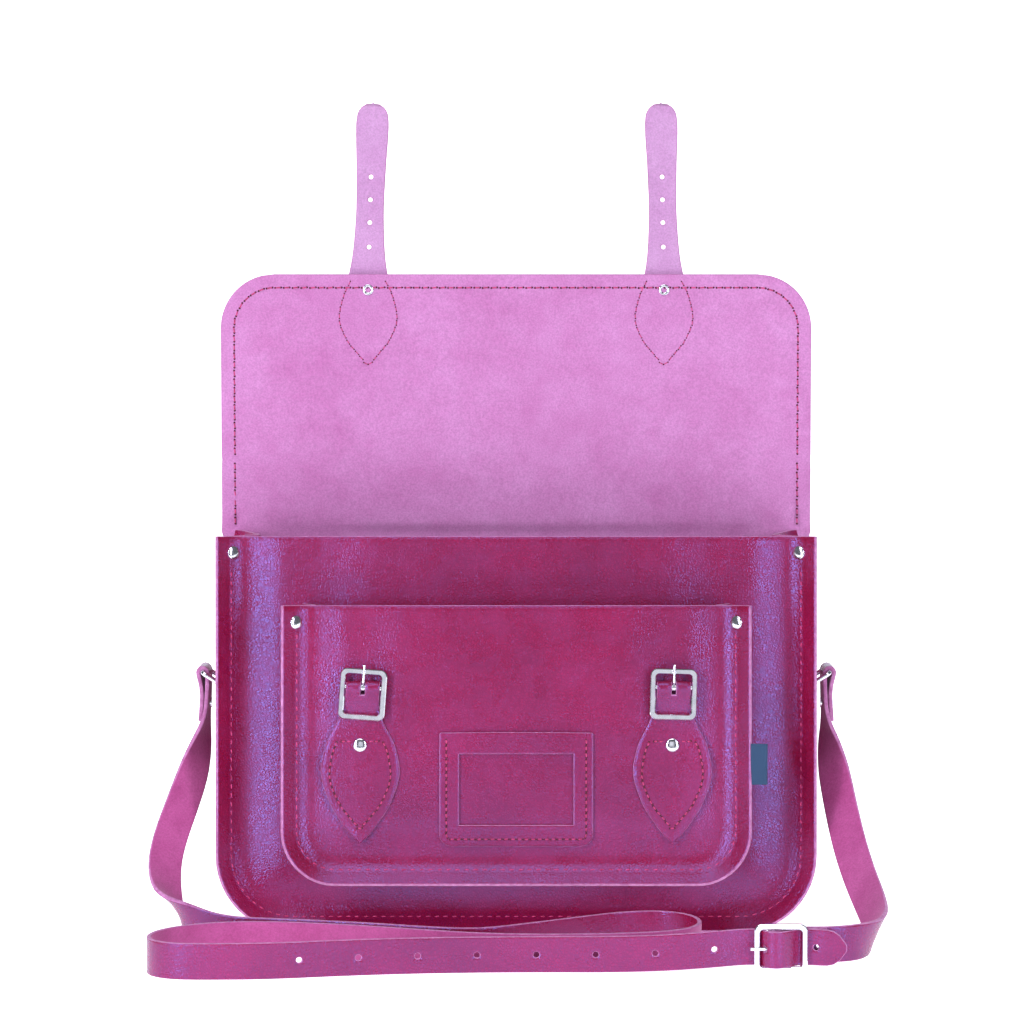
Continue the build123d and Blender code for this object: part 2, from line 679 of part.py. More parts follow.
def flap_strap():
    """A strap's tongue with its row of holes, standing up from just above the flap's edge."""
    root, waist, tip = strap_root_width / 2, strap_waist / 2, strap_tip_width / 2
    foot = 2 * crease_gap
    right = [
        Line((0, foot), (root, foot)),
        ThreePointArc((root, foot), (waist + 0.9, 20), (waist, 42)),
        ThreePointArc((waist, 42), (waist + 0.5, 66), (tip, strap_reach - 14)),
        ThreePointArc((tip, strap_reach - 14), (tip * 0.62, strap_reach - 4.2), (0, strap_reach)),
    ]
    tongue = mirrored_leather(right, foot, strap_reach)
    for height in strap_holes:
        tongue -= Pos(0, height, 0) * Cylinder(strap_hole / 2, 10)
    return tongue


def side_parts():
    """The chapes, rings and chape rivets of both sides."""
    ring, strap = side_ring(), chape()
    grip = 2 * loop_leather + 3.6
    spot = (chape_foot_x + 2 * loop_leather, ring_y, chape_rivet_z)
    fastener = Plane(origin=spot, x_dir=(0, 1, 0), z_dir=(1, 0, 0)).location * rivet(grip, 3.6)
    return {
        "side_ring_right": ring,
        "side_ring_left": mirror(ring, Plane.YZ),
        "ring_chape_right": strap,
        "ring_chape_left": mirror(strap, Plane.YZ),
        "chape_rivet_right": fastener,
        "chape_rivet_left": mirror(fastener, Plane.YZ),
    }


def build():
    """Every sub-part, by the name of its node."""
    parts = body_shell()
    for name, solid in pocket_shell().items():
        parts[name] = front.location * solid
    for side in (-1, 1):
        parts["gusset"] -= Pos(side * chape_foot_x, ring_y, chape_rivet_z) * Rot(0, 90, 0) * shank
    places = [rim_place(pocket, side, pocket_width, pocket_height - corner_rivet_drop) for side in (-1, 1)]
    for place in places:
        parts["pocket_panel"] -= place * Cylinder(shank_radius, 14)
        parts["pocket_gusset"] -= place * Cylinder(shank_radius + 0.3, 14)
    grip = panel_leather + gusset_leather + edge_gap + 0.3
    parts["pocket_corner_rivets"] = Compound(children=[place * rivet(grip) for place in places])
    for x in (-tab_x, tab_x):
        parts["pocket_panel"] -= pocket.location * Pos(x, tab_rivet, 0) * Cylinder(shank_radius, 14)
    return parts | pocket_parts() | flap_parts() | side_parts() | shoulder_parts()


if __name__ == "__main__":
    os.makedirs("parts", exist_ok=True)
    for name, solid in build().items():
        export_step(solid, f"parts/{name}.step")
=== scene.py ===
from math import ceil, cos, pi, radians, sin, tan
from random import Random

import bpy
import numpy as np
from mathutils import Matrix, Vector, noise


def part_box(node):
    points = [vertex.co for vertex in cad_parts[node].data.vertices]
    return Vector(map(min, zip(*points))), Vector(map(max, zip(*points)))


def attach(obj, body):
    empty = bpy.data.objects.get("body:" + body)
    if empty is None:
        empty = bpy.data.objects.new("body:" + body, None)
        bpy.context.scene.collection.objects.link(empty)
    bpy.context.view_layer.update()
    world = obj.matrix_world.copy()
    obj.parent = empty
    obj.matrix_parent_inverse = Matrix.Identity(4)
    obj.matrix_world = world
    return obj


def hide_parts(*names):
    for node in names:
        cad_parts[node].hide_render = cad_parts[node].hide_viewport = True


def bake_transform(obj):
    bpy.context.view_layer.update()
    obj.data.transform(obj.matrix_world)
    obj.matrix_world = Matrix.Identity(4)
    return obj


# A satchel bag with its flap raised. Lengths are in metres, in the frame of the CAD model: X to the right,
# +Y to the back and +Z up.
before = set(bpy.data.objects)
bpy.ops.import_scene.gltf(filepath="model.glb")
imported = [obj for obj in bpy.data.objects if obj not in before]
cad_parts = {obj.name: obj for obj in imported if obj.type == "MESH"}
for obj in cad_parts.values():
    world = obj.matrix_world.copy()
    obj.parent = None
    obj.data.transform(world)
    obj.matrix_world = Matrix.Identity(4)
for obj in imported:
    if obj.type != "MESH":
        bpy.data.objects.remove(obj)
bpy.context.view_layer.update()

# Body
floor_gap = 0.0002
body_width = 2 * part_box("front_panel")[1].x
body_height = 0.2370
body_corner = 0.046
bag_y = 0.017
depth_bottom = 0.084
tilt = radians(3.363)
panel_leather = 0.0024
gusset_leather = 0.0018
edge_bulge = 0.14
slope = radians(40)
rim_length = 0.015
rim_out = rim_length * cos(slope)
rim_reach = rim_out + panel_leather * sin(slope)
rim_run = 0.020
bend_radius = 0.016
roll_start = 0.005
roll_width = 0.022
body_swell = 0.0050
back_swell = 0.0024
pocket_bulge = 0.0030
pocket_drop = 0.0010
fold_from_front = 0.30
body_fold = 0.014

# Pocket
pocket_width = 0.277
pocket_height = 0.1645
pocket_foot = 0.0322
pocket_corner = 0.032
pocket_depth = 0.036
pocket_depth_top = 0.032
pocket_lean = radians(1.393)
pocket_fold = 0.009
pocket_flange = 0.007

# Flap and its straps
flap_half, flap_back_y, flap_edge_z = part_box("flap_front")[1]
flap_corner = 0.033
hinge_gap = 0.0014
crease_back_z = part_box("flap_top")[0].z - hinge_gap
crease_front_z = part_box("flap_front")[0].z - hinge_gap
split_z = (crease_back_z + crease_front_z) / 2
crease_reach = 0.009
low_crease, high_crease = (
    (below, above, (0, 0, z - crease_reach), (0, 0, z + crease_reach))
    for below, above, z in (("root", "flap_top", crease_back_z), ("flap_top", "flap_front", crease_front_z))
)
strap_x = 0.091
strap_tip_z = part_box("flap_strap_left")[1].z
leaf_length = 0.068
strap_holes = (0.017, 0.032, 0.046, 0.060)
strap_rivet_drop = 0.0093

# Tabs, label holder and tag, in the pocket panel's frame
tab_x = 0.092
tab_tip = 0.025
tab_pivot = 0.090
tab_turns = {"left": radians(4), "right": radians(1.5)}
tab_leather = 0.0024
tongue_leather = 0.0020
buckle_v = 0.1165
buckle_w = 0.0076
fold_radius = 0.0036
slot_length = 0.0165
slot_half = 0.0016
holder_width = 0.090
holder_height = 0.0665
holder_foot = 0.023
holder_leather = 0.0020
window_width = 0.068
window_height = 0.0425
window_foot = 0.035

# Rivets: how far in from a panel's top and from its side, and how far up a tab
body_rivet = (0.0096, 0.0102)
pocket_rivet = (0.0098, 0.0084)
tab_rivet = 0.0825

# Stitches
body_seam_start = 0.016
pocket_seam_start = 0.015
stitch_pitch = 0.0053
stitch_inset = 0.009
stitch_share = 0.66
stitch_lean = 0.07
thread_radius = 0.00042

# Shoulder strap
strap_width = 0.020
strap_half = strap_width / 2
strap_leather = 0.0024
strap_hole = 0.0040
hole_first = 0.017
hole_pitch = 0.0335
hole_count = 10
ring_lap_radius = 0.0042
chape_radius = 0.0038
chape_half = 0.0095
ring_outer = Vector((0.190, 0.009, 0.1535))
ring_inner = Vector((0.178, 0.009, 0.146))

# The strap's route from the left ring: a point and the direction its width lies in there.
long_route = [
    (-0.1870, 0.0090, 0.1535, (0, -1, 0)),
    (-0.1874, 0.0088, 0.1380, (0, -1, 0)),
    (-0.1886, 0.0078, 0.1240, (-0.05, -1, 0)),
    (-0.1916, 0.0046, 0.1080, (-0.5, -0.85, 0)),
    (-0.1962, -0.0030, 0.0910, (-0.8, -0.6, 0)),
    (-0.2022, -0.0144, 0.0730, (-0.85, -0.5, 0)),
    (-0.2078, -0.0280, 0.0560, (-0.85, -0.45, 0.05)),
    (-0.2098, -0.0405, 0.0420, (-0.85, -0.35, 0.25)),
    (-0.2070, -0.0540, 0.0295, (-0.75, -0.2, 0.55)),
    (-0.1985, -0.0670, 0.0195, (-0.5, 0, 0.85)),
    (-0.1855, -0.0765, 0.0130, (-0.2, 0.1, 0.97)),
]
long_route += [(x, y, 0.0101, (0, 0, 1)) for x, y in (
    (-0.1680, -0.0835), (-0.1460, -0.0886), (-0.1180, -0.0940), (-0.0840, -0.1024), (-0.0500, -0.1140),
    (-0.0220, -0.1196), (0.0060, -0.1040), (0.0340, -0.0864), (0.0620, -0.0690), (0.0860, -0.0654),
    (0.1030, -0.0780), (0.1075, -0.1010), (0.0970, -0.1215), (0.0720, -0.1306), (0.0400, -0.1344),
    (0.0080, -0.1350), (-0.0220, -0.1314), (-0.0520, -0.1224), (-0.0840, -0.1110), (-0.1180, -0.1020),
    (-0.1460, -0.0976), (-0.1700, -0.0995), (-0.1920, -0.1096), (-0.2070, -0.1270), (-0.2080, -0.1480),
    (-0.1940, -0.1606), (-0.1680, -0.1616), (-0.1360, -0.1596), (-0.1000, -0.1516), (-0.0620, -0.1456),
    (-0.0240, -0.1426), (0.0140, -0.1416),
)]
long_route += [(x, y, z, (0, 0, 1)) for x, y, z in (
    (0.0500, -0.1422, 0.0102), (0.0840, -0.1430, 0.0112), (0.1120, -0.1416, 0.0130),
    (0.1260, -0.1386, 0.01375), (0.1386, -0.1377, 0.01375), (0.1404, -0.1458, 0.01375),
    (0.1452, -0.1495, 0.01375), (0.1510, -0.1464, 0.01375), (0.1588, -0.1383, 0.01375),
    (0.1660, -0.1384, 0.01375), (0.1760, -0.1416, 0.01375), (0.1860, -0.1424, 0.01375),
)]

# The short strap's route from the right ring to the buckle.
short_route = [
    (0.1870, 0.0090, 0.1535, (0, 1, 0)),
    (0.1874, 0.0088, 0.1380, (0, 1, 0)),
    (0.1884, 0.0080, 0.1240, (-0.05, 1, 0)),
    (0.1904, 0.0050, 0.1080, (-0.55, 0.85, 0)),
    (0.1934, -0.0028, 0.0900, (-0.85, 0.55, 0)),
    (0.1964, -0.0140, 0.0710, (-0.85, 0.5, 0)),
    (0.1996, -0.0300, 0.0530, (-0.85, 0.5, 0)),
    (0.2034, -0.0490, 0.0380, (-0.8, 0.55, -0.15)),
    (0.2076, -0.0700, 0.0260, (-0.7, 0.5, -0.4)),
    (0.2096, -0.0910, 0.0180, (-0.5, 0.4, -0.7)),
    (0.2060, -0.1110, 0.0140, (-0.25, 0.2, -0.95)),
    (0.1950, -0.1255, 0.01375, (0, 0, -1)),
    (0.1810, -0.1314, 0.01375, (0, 0, -1)),
    (0.1690, -0.1327, 0.01375, (0, 0, -1)),
    (0.1580, -0.1326, 0.01375, (0, 0, -1)),
]


# ------------------------------------------------------------------------------------------ camera and light
def studio():
    """The camera, the floor, the softboxes and the sky."""
    camera = bpy.data.objects.new("camera", bpy.data.cameras.new("camera"))
    bpy.context.scene.collection.objects.link(camera)
    camera.location = (-0.0025, -1.881, 0.375)
    camera.rotation_euler = (radians(90 - 3.78), 0, 0)
    camera.data.lens = 109.7
    camera.data.sensor_width = 36
    camera.data.clip_end = 50
    bpy.context.scene.camera = camera
    bpy.context.scene.view_settings.view_transform = "Standard"
    softbox("key", (-0.98, -1.35, 0.6), (0, 0, 0.2), (0.30, 1.4), 19, (0.92, 0.86, 1.0), 14)
    softbox("fill", (1.0, -1.35, 0.5), (0, 0, 0.2), (0.26, 1.2), 12, (0.90, 0.86, 1.0), -10)
    softbox("top", (-0.2, -0.7, 1.7), (0, 0, 0.2), (1.4, 0.9), 12, (0.97, 0.95, 1.0))
    softbox("front", (0, -2.8, 0.5), (0, 0, 0.15), (1.1, 1.2), 3.0, (0.93, 0.93, 1.0))
    sky = bpy.data.worlds.new("sky")
    sky.use_nodes = True
    light = sky.node_tree.nodes["Background"].inputs
    light["Color"].default_value = (0.86, 0.90, 1.0, 1)
    light["Strength"].default_value = 0.14
    bpy.context.scene.world = sky
    floor()


def softbox(name, place, aim, size, power, colour, roll=0):
    """A rectangular area light that faces a point, turned by some degrees round its own axis."""
    data = bpy.data.lights.new(name, "AREA")
    data.shape = "RECTANGLE"
    data.size, data.size_y = size
    data.energy = power
    data.color = colour
    light = bpy.data.objects.new(name, data)
    light.location = place
    facing = (Vector(aim) - Vector(place)).to_track_quat("-Z", "Y").to_matrix()
    light.rotation_euler = (facing @ Matrix.Rotation(radians(roll), 3, "Z")).to_euler()
    bpy.context.scene.collection.objects.link(light)


def floor():
    """A white sheet of paper that lies on the floor and curves up behind the bag."""
    reach, front_end, wall, corner, steps = 6.0, -0.62, 2.5, 1.2, 16
    line = [(front_end, 0.0), (wall - corner, 0.0)]
    for step in range(1, steps + 1):
        angle = pi / 2 * step / steps
        line.append((wall - corner + corner * sin(angle), corner * (1 - cos(angle))))
    line.append((wall, 5.0))
    points = [(x, y, z) for y, z in line for x in (-reach, reach)]
    faces = [(2 * i, 2 * i + 1, 2 * i + 3, 2 * i + 2) for i in range(len(line) - 1)]
    paper = new_object("floor", points, faces, [paper_look()])


# ------------------------------------------------------------------------------------------------- materials
def add(tree, kind, values=None, **settings):
    """A node with its settings, and its inputs set to values or linked to other nodes' sockets."""
    made = tree.nodes.new(kind)
    for key, value in settings.items():
        setattr(made, key, value)
    for key, value in (values or {}).items():
        if isinstance(value, bpy.types.NodeSocket):
            tree.links.new(value, made.inputs[key])
        else:
            made.inputs[key].default_value = value
    return made


def colour(red, green, blue):
    """A linear colour from display values of 0 to 255."""
    parts = [c / 255 for c in (red, green, blue)]
    return (*[c / 12.92 if c < 0.04045 else ((c + 0.055) / 1.055) ** 2.4 for c in parts], 1)


def look(name, **inputs):
    """A new material with its node tree, its surface shader and the place of each surface point. inputs are
    the shader's plain values, with _ for each space in their names."""
    made = bpy.data.materials.new(name)
    made.use_nodes = True
    tree = made.node_tree
    shader = tree.nodes["Principled BSDF"]
    for key, value in inputs.items():
        shader.inputs[key.replace("_", " ")].default_value = value
    return made, tree, shader, add(tree, "ShaderNodeTexCoord").outputs["Object"]


def ramp(tree, value, dark, light, low=0.0, high=1.0):
    """A colour that goes from dark to light as a value goes from low to high."""
    made = add(tree, "ShaderNodeValToRGB", {"Fac": value})
    for element, at, shade in zip(made.color_ramp.elements, (low, high), (dark, light)):
        element.position, element.color = at, colour(*shade)
    return made.outputs["Color"]


def paint(tree, shader, shade):
    """Gives a surface its colour."""
    tree.links.new(shade, shader.inputs["Base Color"])


def levels(tree, value, low, high):
    """A noise value from about 0.3 to 0.7 stretched from low to high."""
    settings = {"Value": value, "From Min": 0.3, "From Max": 0.7, "To Min": low, "To Max": high}
    return add(tree, "ShaderNodeMapRange", settings).outputs["Result"]


def texture_noise(tree, place, scale, detail=3.0, roughness=0.55):
    """A noise value over the surface."""
    values = {"Vector": place, "Scale": scale, "Detail": detail, "Roughness": roughness}
    return add(tree, "ShaderNodeTexNoise", values).outputs["Fac"]


def sum_of(tree, first, second, weight):
    """first + second * weight"""
    values = {0: second, 1: weight, 2: first}
    return add(tree, "ShaderNodeMath", values, operation="MULTIPLY_ADD").outputs["Value"]


def bump(tree, shader, height, distance, strength=1.0):
    """A surface relief of that depth in metres."""
    values = {"Height": height, "Distance": distance, "Strength": strength}
    tree.links.new(add(tree, "ShaderNodeBump", values).outputs["Normal"], shader.inputs["Normal"])


def grain_look():
    """The dye-coloured outer side of the leather: a fine pebble grain under a glossy finish, with painted
    shade darkening the grain's valleys.
    """
    made, tree, shader, place = look(
        "bag_grain", IOR=1.75, Specular_IOR_Level=0.85, Specular_Tint=(0.14, 0.34, 1.0, 1)
    )
    warp = add(tree, "ShaderNodeTexNoise", {"Vector": place, "Scale": 420.0, "Detail": 2.0})
    bent = add(tree, "ShaderNodeMixRGB", {"Fac": 0.0012, "Color1": place, "Color2": warp.outputs["Color"]})
    bent.blend_type = "ADD"
    cells = {"Vector": bent.outputs["Color"], "Scale": 620.0}
    pebble = add(tree, "ShaderNodeTexVoronoi", cells, feature="DISTANCE_TO_EDGE").outputs["Distance"]
    pebble = add(tree, "ShaderNodeMapRange", {"Value": pebble, "From Max": 0.28}).outputs["Result"]
    fine = texture_noise(tree, place, 2600.0)
    broad = texture_noise(tree, place, 16.0, 5.0)
    shade = ramp(tree, levels(tree, broad, 0, 1), (138, 9, 44), (160, 18, 62))
    # Painted shade: the colour is darkened towards the pebble grain's valleys, where shade would fall.
    valley_shade = add(tree, "ShaderNodeMapRange", {"Value": pebble, "To Min": 0.72, "To Max": 1.0})
    dye_and_valley_shade = add(tree, "ShaderNodeHueSaturation", {"Color": shade, "Value": valley_shade.outputs["Result"]})
    paint(tree, shader, dye_and_valley_shade.outputs["Color"])
    rough = levels(tree, texture_noise(tree, place, 60.0), 0.22, 0.34)
    tree.links.new(rough, shader.inputs["Roughness"])
    height = sum_of(tree, pebble, fine, 0.35)
    height = sum_of(tree, height, texture_noise(tree, place, 190.0), 0.9)
    bump(tree, shader, height, 0.00008, 0.9)
    return made


def flesh_look(name, pale, deep):
    """The undyed inner side of the leather: matt, fibrous and unevenly tinted."""
    made, tree, shader, place = look(
        name, Roughness=0.88, Sheen_Weight=0.35, Sheen_Roughness=0.5, Sheen_Tint=(1.0, 0.82, 0.98, 1),
        Specular_IOR_Level=0.25,
    )
    broad = texture_noise(tree, place, 14.0, 6.0, 0.62)
    patch = texture_noise(tree, place, 85.0, 5.0, 0.7)
    mixed = sum_of(tree, broad, patch, 0.7)
    mixed = add(tree, "ShaderNodeMapRange", {"Value": mixed, "From Min": 0.25, "From Max": 1.4})
    shade = ramp(tree, mixed.outputs["Result"], deep, pale)
    speck = texture_noise(tree, place, 900.0, 4.0, 0.75)
    reach = {"Value": speck, "From Min": 0.32, "From Max": 0.62, "To Min": 0.76, "To Max": 1.05}
    speck = add(tree, "ShaderNodeMapRange", reach)
    spotted = add(tree, "ShaderNodeHueSaturation", {"Color": shade, "Value": speck.outputs["Result"]})
    paint(tree, shader, spotted.outputs["Color"])
    fibre = sum_of(tree, texture_noise(tree, place, 1500.0, 5.0, 0.8), texture_noise(tree, place, 420.0), 0.8)
    bump(tree, shader, fibre, 0.00022, 0.7)
    return made


def edge_look():
    """The raw cut edge: pale pink, with fine layers of fibre."""
    made, tree, shader, place = look("cut_edge", Roughness=0.75, Sheen_Weight=0.2)
    patch = texture_noise(tree, place, 300.0, 5.0, 0.7)
    paint(tree, shader, ramp(tree, levels(tree, patch, 0, 1), (158, 78, 136), (208, 142, 194)))
    bump(tree, shader, texture_noise(tree, place, 1800.0, 5.0, 0.8), 0.0002, 0.8)
    return made


def thread_look():
    """Waxed twisted thread."""
    made, tree, shader, place = look("thread", Roughness=0.5, Sheen_Weight=0.3)
    patch = texture_noise(tree, place, 700.0, 2.0)
    paint(tree, shader, ramp(tree, levels(tree, patch, 0, 1), (172, 22, 84), (220, 66, 134)))
    twist = {"Vector": place, "Scale": 900.0, "Distortion": 1.5, "Detail": 1.0}
    bump(tree, shader, add(tree, "ShaderNodeTexWave", twist).outputs["Fac"], 0.0001, 0.7)
    return made


def hole_shade_look():
    """The mouth of a stitch hole, painted dark as its shade."""
    made, tree, shader, place = look("stitch_hole_shade", Roughness=0.8)
    paint(tree, shader, ramp(tree, texture_noise(tree, place, 900.0), (44, 2, 20), (84, 6, 36), 0.3, 0.7))
    return made


def nickel_look():
    """Polished nickel plate with faint handling marks."""
    made, tree, shader, place = look("nickel", Metallic=1.0)
    patch = texture_noise(tree, place, 220.0, 4.0)
    paint(tree, shader, ramp(tree, levels(tree, patch, 0, 1), (214, 218, 226), (240, 241, 246)))
    tree.links.new(levels(tree, texture_noise(tree, place, 500.0), 0.09, 0.19), shader.inputs["Roughness"])
    bump(tree, shader, texture_noise(tree, place, 350.0, 3.0), 0.00003, 0.5)
    return made


def tag_look():
    """Plain blue ribbon, woven with fine ribs."""
    made, tree, shader, place = look("tag_weave", Roughness=0.6, Sheen_Weight=0.3)
    ribs = {"Vector": place, "Scale": 520.0, "Distortion": 0.4}
    across = add(tree, "ShaderNodeTexWave", ribs, bands_direction="Z").outputs["Fac"]
    along = add(tree, "ShaderNodeTexWave", ribs, bands_direction="X").outputs["Fac"]
    weave = sum_of(tree, across, along, 0.6)
    paint(tree, shader, ramp(tree, weave, (2, 34, 62), (6, 66, 106), 0.2))
    bump(tree, shader, weave, 0.0001, 0.8)
    return made


def paper_look():
    """White background paper."""
    made, tree, shader, place = look(
        "paper", Roughness=0.9, Specular_IOR_Level=0.1,
        Emission_Color=(0.95, 0.97, 1.0, 1), Emission_Strength=0.95,
    )
    patch = texture_noise(tree, place, 2.0)
    paint(tree, shader, ramp(tree, patch, (250, 251, 255), (255, 255, 255), 0.3, 0.7))
    return made


# ------------------------------------------------------------------------------------------------ mesh tools
def new_object(name, points, faces, looks, marks=None):
    """A smooth mesh object. marks gives each face's material."""
    mesh = bpy.data.meshes.new(name)
    mesh.from_pydata([tuple(p) for p in points], [], faces)
    for material in looks:
        mesh.materials.append(material)
    if marks is not None:
        mesh.polygons.foreach_set("material_index", marks)
    mesh.polygons.foreach_set("use_smooth", [True] * len(faces))
    mesh.update()
    made = bpy.data.objects.new(name, mesh)
    bpy.context.scene.collection.objects.link(made)
    return made


def grid_faces(rows, columns, first=0, closed=False, flip=False):
    """Faces over rows of points that start at point first. closed joins the last column to the first."""
    faces = []
    for r in range(rows - 1):
        for c in range(columns if closed else columns - 1):
            a, b = first + r * columns + c, first + r * columns + (c + 1) % columns
            faces.append((a, a + columns, b + columns, b) if flip else (a, b, b + columns, a + columns))
    return faces


def shell(name, points, faces, thickness, looks, seam=None):
    """A closed piece of leather from its outer face. looks are the materials of the outer face, the back
    and the cut edge. seam says of a point whether the leather goes on there in another piece."""
    points = [Vector(p) for p in points]
    normals = [Vector() for _ in points]
    edges = set()
    for face in faces:
        normal = Vector()
        for i in range(1, len(face) - 1):
            a, b, c = points[face[0]], points[face[i]], points[face[i + 1]]
            normal += (b - a).cross(c - a)
        for i, j in zip(face, (*face[1:], face[0])):
            normals[i] += normal
            edges.add((i, j))
    normals = [n.normalized() for n in normals]
    border = [edge for edge in sorted(edges) if edge[::-1] not in edges]
    outward = {}
    for i, j in border:
        side = (points[j] - points[i]).normalized().cross(normals[i])
        outward[i] = outward.get(i, Vector()) + side
        outward[j] = outward.get(j, Vector()) + side
    count = len(points)
    made = points + [p - n * thickness for p, n in zip(points, normals)]
    rows = {}
    bulge = edge_bulge * thickness
    for i, side in outward.items():
        ending = seam is not None and seam(points[i])
        rows[i] = range(len(made), len(made) + 3)
        for depth, share in ((0.13, 0.75), (0.5, 1.0), (0.87, 0.75)):
            out = 0 if ending else bulge * share
            made.append(points[i] - normals[i] * thickness * depth + side.normalized() * out)
    skin = [tuple(face) for face in faces]
    skin += [tuple(count + i for i in reversed(face)) for face in faces]
    marks = [0] * len(faces) + [1] * len(faces)
    for i, j in border:
        near = (i, *rows[i], count + i)
        far = (j, *rows[j], count + j)
        for a, b, c, d in zip(far, near, near[1:], far[1:]):
            skin.append((a, b, c, d))
            marks.append(2)
    piece = new_object(name, made, skin, looks, marks)
    if seam is not None:
        ends = {i for i in outward if seam(points[i])}
        ends |= {count + i for i in ends}
        for edge in piece.data.edges:
            edge.use_edge_sharp = edge.vertices[0] in ends and edge.vertices[1] in ends
    return piece


def placed(origin, across, normal):
    """The matrix of a flat piece's own frame: u across, v up along it and w along its normal."""
    across, normal = Vector(across), Vector(normal)
    made = Matrix((across, normal.cross(across), normal)).transposed().to_4x4()
    made.translation = origin
    return made


front_plane = placed((0, bag_y - depth_bottom / 2, 0), (1, 0, 0), (0, -cos(tilt), sin(tilt)))
back_plane = placed((0, bag_y + depth_bottom / 2, 0), (-1, 0, 0), (0, cos(tilt), sin(tilt)))
pocket_normal = (0, sin(pocket_lean), cos(pocket_lean))
pocket_plane = front_plane @ placed((0, pocket_foot, pocket_depth - pocket_drop), (1, 0, 0), pocket_normal)


def smooth(value):
    """0 below 0, 1 above 1 and a soft step between."""
    value = min(1.0, max(0.0, value))
    return value * value * (3 - 2 * value)


def wave(u, v, size, height):
    """A low, uneven swell, the same on every run."""
    return height * noise.noise(Vector((u / size, v / size, 0.37)))


# ------------------------------------------------------------------------------------------- dished panels
def rim_profile(inset):
    """Points across a panel's rim from the flat to the edge: how far out, how far up and how far along."""
    run = bend_radius * tan(slope / 2)
    flat = [-run - (inset - run) * share for share in (1.0, 0.75, 0.5, 0.25)]
    line = [(out, 0, out) for out in flat]
    for step in range(7):
        angle = slope * step / 6
        along = -run + bend_radius * angle
        line.append((-run + bend_radius * sin(angle), bend_radius * (1 - cos(angle)), along))
    for share in (0.16, 0.24, 0.30, 0.36, 0.42, 0.50, 0.66, 0.82, 0.94, 1.0):
        reach = rim_length * share
        if reach > run:
            groove = 0.00028 * max(0.0, 1 - abs(share - 0.36) / 0.10)
            out = reach * cos(slope) + groove * sin(slope)
            line.append((out, reach * sin(slope) - groove * cos(slope), reach))
    return line


def u_line(width, top, corner):
    """Points of the fold line with their outward directions, down the left side, along the bottom and up the
    right side, and how many lie before the left corner's middle."""
    half = width / 2 - rim_reach
    radius = corner - rim_reach
    low = rim_reach
    side_steps = ceil((top - low - radius) / 0.004)
    foot_steps = ceil((half - radius) / 0.004)
    line = []
    for i in range(side_steps):
        line.append((-half, top - (top - low - radius) * i / side_steps, -1, 0))
    for step in range(13):
        angle = pi / 2 * step / 12
        out = (-cos(angle), -sin(angle))
        line.append((-half + radius + radius * out[0], low + radius + radius * out[1], *out))
    for i in range(1, foot_steps + 1):
        line.append((-(half - radius) * (1 - i / foot_steps), low, 0, -1))
    line += [(-u, v, -nu, nv) for u, v, nu, nv in reversed(line[:-1])]
    return line, side_steps + 6


def swell(u, v, width, top, depth):
    """How far a panel's middle stands out: it rises near its fold lines, with a softer step inside."""
    half, tall = width / 2 - rim_reach, top - rim_reach
    across = min(1.0, abs(u) / half)
    down = min(1.0, max(0.0, (top - v) / tall))
    roll = smooth(((1 - across) * half - roll_start) / roll_width)
    roll *= smooth(((1 - down) * tall - roll_start) / roll_width)
    step = 0.38 * depth * (1 - smooth((across - 0.62 + 0.12 * (1 - down)) / 0.22))
    return 0.62 * depth * roll + (step + wave(u, v, 0.09, 0.0009)) * (1 - across**4) * (1 - down**7)


def rim_place(width, top, side, v, inset, depth):
    """The point and normal on a panel's face beside its side edge, that far in from the edge."""
    profile = rim_profile(rim_run)
    outs, ups, _ = zip(*profile)
    out = rim_reach - inset
    up = float(np.interp(out, outs, ups))
    steep = (float(np.interp(out + 0.0005, outs, ups)) - up) / 0.0005
    at = side * (width / 2 - rim_reach)
    height = up + swell(at + side * min(out, 0.0), v, width, top, depth)
    return Vector((at + side * out, v, height)), Vector((-side * steep, 0, 1)).normalized()


def dished_panel(width, top, corner, depth, dish=lambda v: 1.0):
    """A panel's outer face in its own frame, its side and bottom edges turned up in a rim. dish says how much
    of the rim is left at a height. Also gives its top row of points."""
    line, corner_at = u_line(width, top, corner)
    profile = rim_profile(min(rim_run, 0.65 * (corner - rim_reach)))
    columns = len(line)
    points = []
    for out, up, along in profile:
        for u, v, nu, nv in line:
            left = dish(v) if abs(nu) > 0.5 else 1.0
            reach = out * left + along * (1 - left)
            at_u, at_v = u + nu * reach, v + nv * reach
            points.append((at_u, at_v, up * left + swell(u + nu * min(out, 0), at_v, width, top, depth)))
    faces = grid_faces(len(profile), columns, flip=True)
    across = columns - 1 - 2 * corner_at
    grid = {}
    for j in range(corner_at + 1):
        grid[0, j], grid[across, j] = j, columns - 1 - j
    for i in range(across + 1):
        grid[i, corner_at] = corner_at + i
    ends = [Vector(points[grid[i, j]]) for i, j in ((0, 0), (across, 0), (0, corner_at), (across, corner_at))]
    for j in range(corner_at):
        t = j / corner_at
        left, right = Vector(points[grid[0, j]]), Vector(points[grid[across, j]])
        for i in range(1, across):
            s = i / across
            above = ends[0].lerp(ends[1], s)
            below = Vector(points[grid[i, corner_at]])
            spot = above * (1 - t) + below * t + left * (1 - s) + right * s
            spot -= (
                ends[0] * (1 - s) * (1 - t) + ends[1] * s * (1 - t)
                + ends[2] * (1 - s) * t + ends[3] * s * t
            )
            grid[i, j] = len(points)
            points.append((spot.x, spot.y, swell(spot.x, spot.y, width, top, depth)))
    for j in range(corner_at):
        for i in range(across):
            faces.append((grid[i, j + 1], grid[i + 1, j + 1], grid[i + 1, j], grid[i, j]))
    last = len(profile)
    top_row = [p * columns for p in reversed(range(last))]
    top_row += [grid[i, 0] for i in range(1, across)]
    top_row += [p * columns + columns - 1 for p in range(last)]
    return points, faces, top_row


